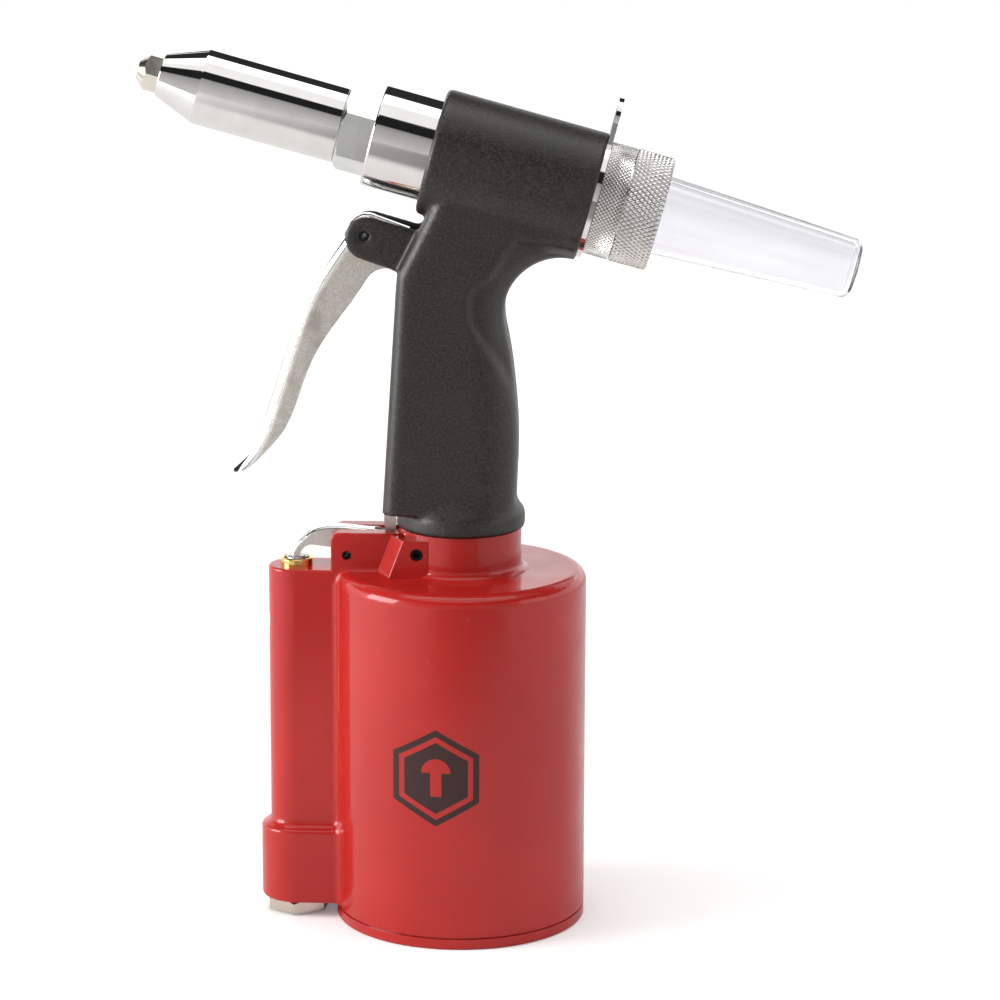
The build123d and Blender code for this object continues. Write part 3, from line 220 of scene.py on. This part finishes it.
def turned_metal(name, tint, rough, streak_mm=0.12):
    """Metal turned in a lathe about the head's axis: fine rings, slight smudges."""
    look = Look(name, Metallic=1.0)
    smudge = look.noise(9, detail=4.0)
    rings = look.noise(streak_mm, detail=2.0, stretch=(1, 60, 60), turn_y=-HEAD_TILT)
    darker = tuple(c * 0.93 for c in tint)
    look.set("Base Color", look.mix(look.fit(smudge, 0.35, 0.7), tint, darker))
    look.set("Roughness", look.fit(smudge, 0.3, 0.75, rough[0], rough[1]))
    look.bump(rings, 0.0012)
    return look.material


# The painted shade in a knurl's grooves starts this far below its crest, and ends at this many times the
# groove's own depth.
GROOVE_SHADE_STARTS, GROOVE_SHADE_ENDS = 0.12, 1.6


def knurled_nickel(name, crest_mm, groove_mm):
    """Nickel plate with painted shade, a near-black colour down in the knurl's grooves, that far below its
    crest.
    """
    look = Look(name, Metallic=1.0)
    x, y, z = look.split(look.point)
    rise = look.math("SUBTRACT", z, HEAD_ORIGIN.z)
    rise = look.math("MULTIPLY", rise, cos(HEAD_TILT))
    up = look.math("ADD", look.math("MULTIPLY", x, sin(HEAD_TILT)), rise)
    radius = look.length(y, up)
    # painted shade: the colour darkens with depth below the crest, to nearly black in the grooves
    groove = look.fit(radius, (crest_mm - GROOVE_SHADE_STARTS) * MM, (crest_mm - groove_mm) * MM)
    in_knurl = look.math("GREATER_THAN", radius, (crest_mm - GROOVE_SHADE_ENDS * groove_mm) * MM)
    groove = look.math("MULTIPLY", groove, in_knurl)
    smudge = look.fit(look.noise(6, detail=3.0), 0.3, 0.7)
    crest = look.mix(smudge, (0.97, 0.955, 0.93), (0.90, 0.885, 0.86))
    # the grooves' painted shade is mixed over the crest's own nickel colour
    look.set("Base Color", look.mix(look.math("MULTIPLY", groove, 0.82), crest, (0.09, 0.080, 0.070)))
    look.set("Roughness", look.fit(smudge, 0.0, 1.0, 0.20, 0.30))
    return look.material


def satin_steel():
    """Lever steel: satin blasted sides facing the two Y directions, polished edges between them."""
    look = Look("satin_and_polished_steel", Metallic=1.0)
    side = look.math("ABSOLUTE", look.split(look.place["Normal"])[1])
    side = look.fit(side, 0.90, 0.99)
    grain = look.noise(0.42, detail=3.0, rough=0.65)
    cloud = look.noise(13, detail=3.0)
    satin = look.mix(look.fit(grain, 0.3, 0.75), (0.56, 0.52, 0.475), (0.82, 0.775, 0.725))
    satin = look.mix(look.math("MULTIPLY", look.fit(cloud, 0.48, 0.72), 0.75), satin, (0.38, 0.34, 0.30))
    look.set("Base Color", look.mix(side, (0.82, 0.82, 0.81), satin))
    polished = look.fit(cloud, 0.3, 0.7, 0.06, 0.13)
    rough = look.math("ADD", polished, look.math("MULTIPLY", side, look.fit(grain, 0.3, 0.7, 0.30, 0.42)))
    look.set("Roughness", rough)
    look.bump(look.math("MULTIPLY", grain, side), 0.06)
    look.bump(look.noise(6, detail=1.0), 0.03)
    return look.material


def nut_plate():
    """Plated lock nut: bright with a light grain on its flats."""
    look = Look("plated_nut", Metallic=1.0)
    grain = look.noise(0.30, detail=3.0)
    cloud = look.noise(5, detail=3.0)
    look.set("Base Color", look.mix(look.fit(cloud, 0.3, 0.7), (0.80, 0.80, 0.79), (0.70, 0.70, 0.68)))
    look.set("Roughness", look.fit(grain, 0.3, 0.7, 0.13, 0.22))
    look.bump(grain, 0.010)
    return look.material


def plain_grain(name, low, high, rough, size_mm=0.6, depth_mm=0.02, **values):
    """A simple surface whose colour and roughness vary over a grain of one size."""
    look = Look(name, **values)
    grain = look.noise(size_mm, detail=4.0)
    cloud = look.noise(size_mm * 14, detail=3.0)
    base = look.mix(look.fit(cloud, 0.3, 0.7), low, high)
    look.set("Base Color", look.mix(look.math("MULTIPLY", grain, 0.3), base, low))
    look.set("Roughness", look.fit(grain, 0.3, 0.7, rough[0], rough[1]))
    look.bump(grain, depth_mm)
    return look.material


def clear_plastic():
    """Clear moulded plastic with faint flow lines."""
    look = Look("clear_moulded_plastic", Transmission_Weight=1.0, IOR=1.49)
    flow = look.noise(7, detail=2.0, stretch=(6, 1, 1), turn_y=-HEAD_TILT)
    look.set("Base Color", look.mix(look.fit(flow, 0.3, 0.7), (0.925, 0.920, 0.942), (0.880, 0.875, 0.900)))
    look.set("Roughness", look.fit(look.noise(3, detail=3.0), 0.3, 0.7, 0.015, 0.05))
    look.bump(flow, 0.05)
    return look.material


looks = {
    "red_enamel": enamel(),
    "black_coat": black_coat(),
    "chrome_plate": turned_metal("bright_chrome", (0.82, 0.805, 0.79), (0.030, 0.065)),
    "nickel_plate": turned_metal("warm_nickel", (0.90, 0.88, 0.84), (0.16, 0.26), streak_mm=0.2),
    "polished_steel": satin_steel(),
    "dark_steel": plain_grain(
        "black_oxide_steel", (0.012, 0.012, 0.013), (0.035, 0.034, 0.034), (0.32, 0.5), Metallic=0.85
    ),
    "machined_steel": turned_metal("turned_steel", (0.62, 0.62, 0.63), (0.20, 0.32), streak_mm=0.3),
    "hardened_steel": plain_grain(
        "hardened_steel", (0.26, 0.25, 0.25), (0.36, 0.34, 0.33), (0.3, 0.42), Metallic=1.0
    ),
    "spring_steel": plain_grain(
        "spring_wire", (0.34, 0.34, 0.35), (0.46, 0.46, 0.47), (0.25, 0.4), size_mm=0.3, Metallic=1.0
    ),
    "machined_aluminium": turned_metal("turned_aluminium", (0.80, 0.81, 0.82), (0.22, 0.34), streak_mm=0.25),
    "brass": turned_metal("turned_brass", (0.83, 0.60, 0.22), (0.12, 0.24), streak_mm=0.15),
    "seal_rubber": plain_grain("seal_rubber", (0.012, 0.012, 0.012), (0.028, 0.027, 0.026), (0.55, 0.75)),
    "bumper_urethane": plain_grain("amber_urethane", (0.42, 0.27, 0.06), (0.55, 0.38, 0.10), (0.35, 0.5)),
    "clear_plastic": clear_plastic(),
}
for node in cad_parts.values():
    for place in node.material_slots:
        place.material = looks[place.material.name.split(".")[0]]
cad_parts["lock_nut"].material_slots[0].material = nut_plate()
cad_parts["hanger_plate"].material_slots[0].material = looks["chrome_plate"]
cream_nickel = turned_metal("cream_nickel", (0.80, 0.745, 0.66), (0.10, 0.20), streak_mm=0.2)
for name in ("nosepiece", "inlet_bushing"):
    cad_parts[name].material_slots[0].material = cream_nickel


# ---------------------------------------------------------------- knurled rings
SHARP = radians(35)


def new_piece(name, vertices, faces, look):
    mesh = bpy.data.meshes.new(name)
    mesh.from_pydata(vertices, [], faces)
    mesh.validate()
    mesh.shade_smooth()
    mesh.set_sharp_from_angle(angle=SHARP)
    mesh.materials.append(look)
    made = bpy.data.objects.new(name, mesh)
    SCENE.collection.objects.link(made)
    return made


def turned_rows(name, profile, steps, look, relief):
    """Turns a closed loop of (station, radius) about the head's axis. relief(station, angle, radius)
    gives each point's own radius."""
    stations = np.array([p[0] for p in profile])[:, None]
    radii = np.array([p[1] for p in profile])[:, None]
    angles = (np.arange(steps) * 2 * pi / steps)[None, :]
    shaped = relief(stations, angles, radii)
    points = head_points(stations + 0 * angles, shaped * np.cos(angles), shaped * np.sin(angles)) * MM
    rows = len(profile)
    first, second = np.meshgrid(np.arange(rows), np.arange(steps), indexing="ij")
    next_row, next_step = (first + 1) % rows, (second + 1) % steps
    here, beyond = first * steps, next_row * steps
    faces = np.stack([here + second, here + next_step, beyond + next_step, beyond + second], axis=-1)
    return new_piece(name, points.reshape(-1, 3).tolist(), faces.reshape(-1, 4).tolist(), look)


def head_points(station, up, side):
    """Points from stations, heights and sideways distances about the head's axis, all in mm."""
    return (
        np.array(HEAD_ORIGIN) / MM
        + station[..., None] * np.array(HEAD_AXIS)
        + up[..., None] * np.array(HEAD_UP)
        + side[..., None] * np.array(SIDEWAYS)
    )


# A knurl's groove takes this share of each half diamond; its bevels fall 0.9 for 1 along the axis.
GROOVE_SHARE = 0.42
BEVEL_FALL = 0.9
STEPS_PER_DIAMOND = 8
ON_BAND = 0.01

# front and rear are stations; bevels are the corner sizes there; count is the diamonds round the ring.
Knurl = namedtuple("Knurl", "front rear crest pitch count depth bevels")
FINE = Knurl(front=43.8, rear=51.95, crest=17.9, pitch=1.4, count=86, depth=0.42, bevels=(0.4, 0.0))
COARSE = Knurl(front=52.35, rear=64.1, crest=18.0, pitch=2.45, count=72, depth=0.40, bevels=(0.0, 0.4))


def knurled(name, knurl, outline, look):
    """A turned ring with a diamond knurl on its outside; outline closes the section behind the knurl."""
    length = knurl.rear - knurl.front
    rows = int(round(length / knurl.pitch * STEPS_PER_DIAMOND))
    band = [(knurl.front + length * i / rows, knurl.crest) for i in range(rows + 1)]

    def ridge(phase):
        return 1 - np.abs(2 * (phase % 1.0) - 1)

    def relief(stations, angles, radii):
        turns = angles * knurl.count / (2 * pi)
        from_front, to_rear = stations - knurl.front, knurl.rear - stations
        along = from_front / knurl.pitch
        lower = np.minimum(ridge(turns + along), ridge(turns - along))
        height = np.minimum(lower / GROOVE_SHARE, 1.0)
        cut = knurl.crest - knurl.depth * (1 - height)
        past = np.maximum(knurl.bevels[0] - from_front, knurl.bevels[1] - to_rear)
        edge = knurl.crest - np.clip(past, 0, None) * BEVEL_FALL
        within = np.minimum(from_front, to_rear) > -ON_BAND
        on_band = (radii > knurl.crest - ON_BAND) & within
        return np.where(on_band, np.minimum(cut, edge), radii + 0 * angles)

    return turned_rows(name, band + outline, knurl.count * STEPS_PER_DIAMOND, look, relief)


# The frame cap: its spigot with a groove for the O-ring, the bore for the piston's tube, and the
# threaded part ahead of the knurl.
SPIGOT_R, SEAL_GROOVE_R, PISTON_TUBE_R, THREAD_R = 14.2, 12.6, 6.05, 16.0
SEAL_GROOVE_S, SPIGOT_REAR_S, THREAD_FRONT_S, SPIGOT_EDGE = (54.0, 56.2), 57.4, 38.0, 0.5
cap_ring = knurled(
    "knurled_frame_cap",
    FINE,
    [
        (FINE.rear, SPIGOT_R),
        (SEAL_GROOVE_S[0], SPIGOT_R),
        (SEAL_GROOVE_S[0], SEAL_GROOVE_R),
        (SEAL_GROOVE_S[1], SEAL_GROOVE_R),
        (SEAL_GROOVE_S[1], SPIGOT_R),
        (SPIGOT_REAR_S - SPIGOT_EDGE, SPIGOT_R),
        (SPIGOT_REAR_S, SPIGOT_R - SPIGOT_EDGE),
        (SPIGOT_REAR_S, PISTON_TUBE_R),
        (THREAD_FRONT_S, PISTON_TUBE_R),
        (THREAD_FRONT_S, THREAD_R),
        (FINE.front, THREAD_R),
    ],
    knurled_nickel("fine_knurled_nickel", FINE.crest, 0.30),
)
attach(cap_ring, "frame")
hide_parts("frame_cap")

COLLAR_HOLE_R, COLLAR_BORE_R, COLLAR_STEP_S = 12.5, 14.5, 60.6
collar = knurled(
    "knurled_collector_collar",
    COARSE,
    [
        (COARSE.rear, COLLAR_HOLE_R),
        (COLLAR_STEP_S, COLLAR_HOLE_R),
        (COLLAR_STEP_S, COLLAR_BORE_R),
        (COARSE.front, COLLAR_BORE_R),
    ],
    knurled_nickel("coarse_knurled_nickel", COARSE.crest, 0.38),
)
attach(collar, "collector")
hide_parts("collector_collar")


# ---------------------------------------------------------------- grip
GRIP_VOXEL = 0.62 * MM
ROUNDS_BEFORE, ROUNDS_AFTER = 6, 4
SMOOTHING_STEPS = (0.55, -0.30)
TINY = 1e-6


def cast_grip():
    """The grip as a casting: the CAD solid remeshed, its palm side hollowed and every corner softened."""
    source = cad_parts["grip_frame"]
    raw = bpy.data.objects.new("raw_grip", source.data.copy())
    SCENE.collection.objects.link(raw)
    remesh = raw.modifiers.new("voxels", "REMESH")
    remesh.mode = "VOXEL"
    remesh.voxel_size = GRIP_VOXEL
    graph = bpy.context.evaluated_depsgraph_get()
    mesh = bpy.data.meshes.new_from_object(raw.evaluated_get(graph))
    bpy.data.objects.remove(raw)
    points = np.zeros(len(mesh.vertices) * 3)
    mesh.vertices.foreach_get("co", points)
    points = points.reshape(-1, 3)
    edges = np.zeros(len(mesh.edges) * 2, int)
    mesh.edges.foreach_get("vertices", edges)
    edges = edges.reshape(-1, 2)
    points = palm_hollow(soften(points, edges, ROUNDS_BEFORE))
    points = clear_rod_path(crisp_rim(soften(points, edges, ROUNDS_AFTER)))
    mesh.vertices.foreach_set("co", points.ravel())
    mesh.update()
    mesh.shade_smooth()
    mesh.materials.clear()
    mesh.materials.append(looks["black_coat"])
    made = bpy.data.objects.new("cast_grip", mesh)
    SCENE.collection.objects.link(made)
    return made


def soften(points, edges, rounds):
    """Laplacian smoothing with a balancing step outwards, so that the form doesn't shrink."""
    degree = np.bincount(edges.ravel(), minlength=len(points))[:, None]
    for _ in range(rounds):
        for share in SMOOTHING_STEPS:
            total = np.zeros_like(points)
            np.add.at(total, edges[:, 0], points[edges[:, 1]])
            np.add.at(total, edges[:, 1], points[edges[:, 0]])
            points = points + share * (total / degree - points)
    return points


BARREL_R, BARREL_REAR_S, RIM_EDGE = 20.0, 42.3, 0.5
# The rim's zone: its length and depth, and how far below the head's axis it reaches.
RIM_LENGTH, RIM_DEPTH, RIM_BELOW = 3.5, 2.5, 12.0


def crisp_rim(points):
    """Brings the barrel's rear rim back to a machined corner after the softening."""
    x, y, z = (points[:, i] / MM for i in range(3))
    up = head_height(x, z)
    station = x * cos(HEAD_TILT) - (z - HEAD_ORIGIN.z / MM) * sin(HEAD_TILT)
    radius = np.hypot(y, up)
    inner_s, inner_r = BARREL_REAR_S - RIM_EDGE, BARREL_R - RIM_EDGE
    rim = (station > BARREL_REAR_S - RIM_LENGTH) & (radius > BARREL_R - RIM_DEPTH) & (up > -RIM_BELOW)
    past_s, past_r = station - inner_s, radius - inner_r
    reach = np.maximum(np.hypot(past_s, past_r), TINY)
    corner = (past_s > 0) & (past_r > 0)
    new_s = np.where(corner, inner_s + past_s / reach * RIM_EDGE, station)
    new_r = np.where(corner, inner_r + past_r / reach * RIM_EDGE, radius)
    new_s = np.where(~corner & (past_s > past_r), BARREL_REAR_S, new_s)
    new_r = np.where(~corner & (past_s <= past_r), BARREL_R, new_r)
    stretch = new_r / np.maximum(radius, TINY)
    return np.where(rim[:, None], head_points(new_s, up * stretch, y * stretch) * MM, points)


ROD_FOOT, ROD_LEAN = (-21.92, 0, 134.0), radians(3.53)
CHANNEL_R, CHANNEL_SPAN = 1.65, (-5.0, 75.0)
NOTCH_REAR_X, NOTCH_TOP_Z, NOTCH_FOOT_Z, NOTCH_HALF_WIDTH = -19.7, 137.4, 129.0, 3.5


def clear_rod_path(points):
    """Opens the trigger rod's channel and the notch for its foot again, with room for the motion."""
    local = points / MM
    from_foot = local - np.array(ROD_FOOT)
    along = np.array((sin(ROD_LEAN), 0, cos(ROD_LEAN)))
    station = from_foot @ along
    aside = from_foot - station[:, None] * along
    reach = np.maximum(np.linalg.norm(aside, axis=1), TINY)
    tight = (reach < CHANNEL_R) & (station > CHANNEL_SPAN[0]) & (station < CHANNEL_SPAN[1])
    local = np.where(tight[:, None], local + aside * (CHANNEL_R / reach - 1)[:, None], local)
    x, y, z = local.T
    gaps = np.stack([NOTCH_REAR_X - x, NOTCH_HALF_WIDTH - np.abs(y), NOTCH_TOP_Z - z])
    inside = (gaps > 0).all(axis=0) & (z > NOTCH_FOOT_Z)
    nearest = np.argmin(gaps, axis=0)
    x = np.where(inside & (nearest == 0), NOTCH_REAR_X, x)
    y = np.where(inside & (nearest == 1), np.sign(y) * NOTCH_HALF_WIDTH, y)
    z = np.where(inside & (nearest == 2), NOTCH_TOP_Z, z)
    return np.stack([x, y, z], axis=1) * MM


# The hollow's edge in the side view, from top to bottom, and how far it eases in behind that line.
PALM_LINE = [
    (17.5, 226.0), (12.5, 217.0), (8.6, 210.5), (3.0, 207.0), (1.4, 203.0), (1.8, 197.0), (5.0, 190.5),
    (8.5, 186.5), (12.0, 180.0), (16.0, 172.0),
]
PALM_DEPTH, PALM_EASE = 1.9, 3.5
PALM_FOOT_Z, PALM_FOOT_FADE, PALM_TOP_Z, PALM_TOP_FADE = 165.0, 14.0, 232.0, 8.0
FLANK_Y, FLANK_FADE = 6.0, 6.0
BARREL_KEEP, BARREL_FADE = 19.0, 3.0


def palm_hollow(points):
    """Presses the two rear flanks of the grip in behind a soft line, deepest under the barrel."""
    x, y, z = (points[:, i] / MM for i in range(3))
    line_z = [p[1] for p in PALM_LINE][::-1]
    line_x = [p[0] for p in PALM_LINE][::-1]
    behind = x - np.interp(z, line_z, line_x)
    into = np.clip(behind / PALM_EASE, 0, 1)
    into = into * into * (3 - 2 * into)
    foot = np.clip((z - PALM_FOOT_Z) / PALM_FOOT_FADE, 0, 1)
    top = np.clip((PALM_TOP_Z - z) / PALM_TOP_FADE, 0, 1)
    flank = np.clip((np.abs(y) - FLANK_Y) / FLANK_FADE, 0, 1)
    below_barrel = np.clip((-BARREL_KEEP - head_height(x, z)) / BARREL_FADE + 1, 0, 1)
    shift = PALM_DEPTH * into * (foot * top) * flank * below_barrel
    moved = points.copy()
    moved[:, 1] -= np.sign(y) * shift * MM
    return moved


def head_height(x, z):
    """Height above the head's axis, in millimetres, of points in the side view."""
    return x * sin(HEAD_TILT) + (z - HEAD_HEIGHT) * cos(HEAD_TILT)


grip = cast_grip()
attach(grip, "frame")
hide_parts("grip_frame")

# ---------------------------------------------------------------- camera
TARGET = Vector((12.38, 0, 136.7)) * MM
AZIMUTH, ELEVATION, ROLL = radians(2.6), radians(13.0), radians(0.21)
DISTANCE, SENSOR_WIDTH, LENS = 1.2, 36, 136.08
camera_data = bpy.data.cameras.new("camera")
camera_data.sensor_width = SENSOR_WIDTH
camera_data.lens = LENS
camera = bpy.data.objects.new("camera", camera_data)
SCENE.collection.objects.link(camera)
back = Vector((sin(AZIMUTH) * cos(ELEVATION), -cos(AZIMUTH) * cos(ELEVATION), sin(ELEVATION)))
camera.location = TARGET + back * DISTANCE
camera.rotation_mode = "QUATERNION"
camera.rotation_quaternion = (-back).to_track_quat("-Z", "Y") @ Quaternion((0, 0, 1), ROLL)
SCENE.camera = camera

# ---------------------------------------------------------------- floor
FLOOR_REACH, FLOOR_DROP = 14.0, 0.1 * MM
floor_mesh = bpy.data.meshes.new("floor")
signs = ((-1, -1), (1, -1), (1, 1), (-1, 1))
corners = [(x * FLOOR_REACH, y * FLOOR_REACH, -FLOOR_DROP) for x, y in signs]
floor_mesh.from_pydata(corners, [], [(0, 1, 2, 3)])
floor = bpy.data.objects.new("floor", floor_mesh)
SCENE.collection.objects.link(floor)
pale = Look("pale_floor", Roughness=0.9, Specular_IOR_Level=0.0)
# The camera and clear plastic see plain pale paper. Everything else sees a patch ahead of the object that is
# darker, a painted shade that takes bounce light and reflection off the object's front, and polished parts
# see the whole floor a little darker. Each pair is where an edge of the patch starts and ends, in metres.
PATCH_NEAR, PATCH_LEFT, PATCH_RIGHT = (-0.22, -0.42), (-0.26, -0.08), (0.33, 0.29)
PAPER, MIRRORED_PAPER, PATCH_GREY = (0.90, 0.90, 0.90), (0.70, 0.695, 0.685), (0.25, 0.245, 0.24)
PAPER_GLOW = 0.16
floor_x, floor_y, _ = pale.split(pale.point)
paths = pale.node("ShaderNodeLightPath").outputs
direct = pale.math("MAXIMUM", paths["Is Camera Ray"], paths["Is Transmission Ray"])
# painted shade: a dark patch that only bounce and reflection rays see, darkening the object's front
patch = pale.math("MULTIPLY", pale.fit(floor_y, *PATCH_NEAR), pale.fit(floor_x, *PATCH_RIGHT))
patch = pale.math("MULTIPLY", patch, pale.fit(floor_x, *PATCH_LEFT))
patch = pale.math("MULTIPLY", patch, pale.math("SUBTRACT", 1.0, direct))
mirrored = pale.math("SUBTRACT", paths["Is Glossy Ray"], paths["Is Transmission Ray"], clamp=True)
sheet = pale.mix(mirrored, PAPER, MIRRORED_PAPER)
pale.set("Base Color", pale.mix(patch, sheet, PATCH_GREY))
pale.set("Emission Color", (1.0, 1.0, 1.0, 1.0))
pale.set("Emission Strength", pale.math("MULTIPLY", direct, PAPER_GLOW))
floor_mesh.materials.append(pale.material)

# ---------------------------------------------------------------- room and lights
world = bpy.data.worlds.new("studio")
world.use_nodes = True
SCENE.world = world
world.node_tree.nodes.clear()


def world_node(kind, inputs=None, **settings):
    return add_node(world.node_tree, kind, inputs, **settings)


def height_ramp(height, stops):
    """Brightness by the sine of the height above the horizon."""
    made = world_node("ShaderNodeValToRGB", {0: height})
    ramp = made.color_ramp
    while len(ramp.elements) < len(stops):
        ramp.elements.new(0.5)
    for element, (place, level) in zip(ramp.elements, stops):
        element.position = place
        element.color = (level, level, level, 1)
    return made.outputs[0]


ROOM_STRENGTH = 2.8
TURN_OF_SIDES = 0.15
direction = world_node("ShaderNodeTexCoord").outputs["Generated"]
way = world_node("ShaderNodeSeparateXYZ", {0: direction}).outputs
rearwards = world_node(
    "ShaderNodeMapRange",
    {"Value": way[1], "From Min": -TURN_OF_SIDES, "From Max": TURN_OF_SIDES},
    interpolation_type="SMOOTHSTEP",
).outputs["Result"]


def surround(front_stops, rear_stops):
    """The room's brightness, with one ramp of heights ahead of the object and one behind it."""
    ramps = {6: height_ramp(way[2], front_stops), 7: height_ramp(way[2], rear_stops)}
    return world_node("ShaderNodeMix", {0: rearwards, **ramps}, data_type="RGBA").outputs[2]


# What lights the object, and what polished parts mirror: pale walls low down, dark above, a bright
# panel overhead.
lit_by = surround(
    [(0.0, 0.18), (0.42, 0.10), (0.515, 0.07), (0.535, 0.004), (0.79, 0.004), (0.81, 1.0)],
    [(0.0, 0.45), (0.34, 0.45), (0.40, 0.006), (0.88, 0.006), (0.90, 1.0)],
)
mirrored_by = surround(
    [(0.0, 0.22), (0.42, 0.15), (0.515, 0.11), (0.535, 0.006), (0.79, 0.006), (0.81, 0.39)],
    [(0.0, 0.50), (0.34, 0.50), (0.40, 0.010), (0.88, 0.010), (0.90, 1.0)],
)
rays = world_node("ShaderNodeLightPath").outputs
studio = world_node(
    "ShaderNodeMix", {0: rays["Is Glossy Ray"], 6: lit_by, 7: mirrored_by}, data_type="RGBA"
).outputs[2]
seen = world_node(
    "ShaderNodeMath", {0: rays["Is Camera Ray"], 1: rays["Is Transmission Ray"]}, operation="MAXIMUM"
).outputs[0]
room = world_node("ShaderNodeBackground", {"Color": studio, "Strength": ROOM_STRENGTH})
paper_tone = height_ramp(way[2], [(0.0, 1.0), (0.15, 1.0), (0.60, 0.45), (1.0, 0.40)])
paper = world_node("ShaderNodeBackground", {"Color": paper_tone, "Strength": 1.0})
both = world_node("ShaderNodeMixShader", {0: seen, 1: room.outputs[0], 2: paper.outputs[0]})
world_node("ShaderNodeOutputWorld", {"Surface": both.outputs[0]})


def softbox(name, spot, size, watts):
    data = bpy.data.lights.new(name, "AREA")
    data.shape = "RECTANGLE"
    data.size, data.size_y = size
    data.energy = watts
    made = bpy.data.objects.new(name, data)
    SCENE.collection.objects.link(made)
    made.location = spot
    made.rotation_mode = "QUATERNION"
    made.rotation_quaternion = (LIT_POINT - Vector(spot)).to_track_quat("-Z", "Y")


LIT_POINT = Vector((0, 0, 0.14))
softbox("key_left", (-1.5, -0.42, 0.50), (0.9, 0.9), 25.0)
softbox("fill_right", (1.5, -0.45, 0.60), (0.8, 0.8), 2.4)
softbox("rear_left", (-0.9, 1.3, 1.0), (1.0, 0.7), 2.0)
softbox("rear_right", (0.9, 1.3, 1.0), (1.0, 0.7), 2.0)

SCENE.view_settings.view_transform = "Standard"
SCENE.view_settings.look = "None"
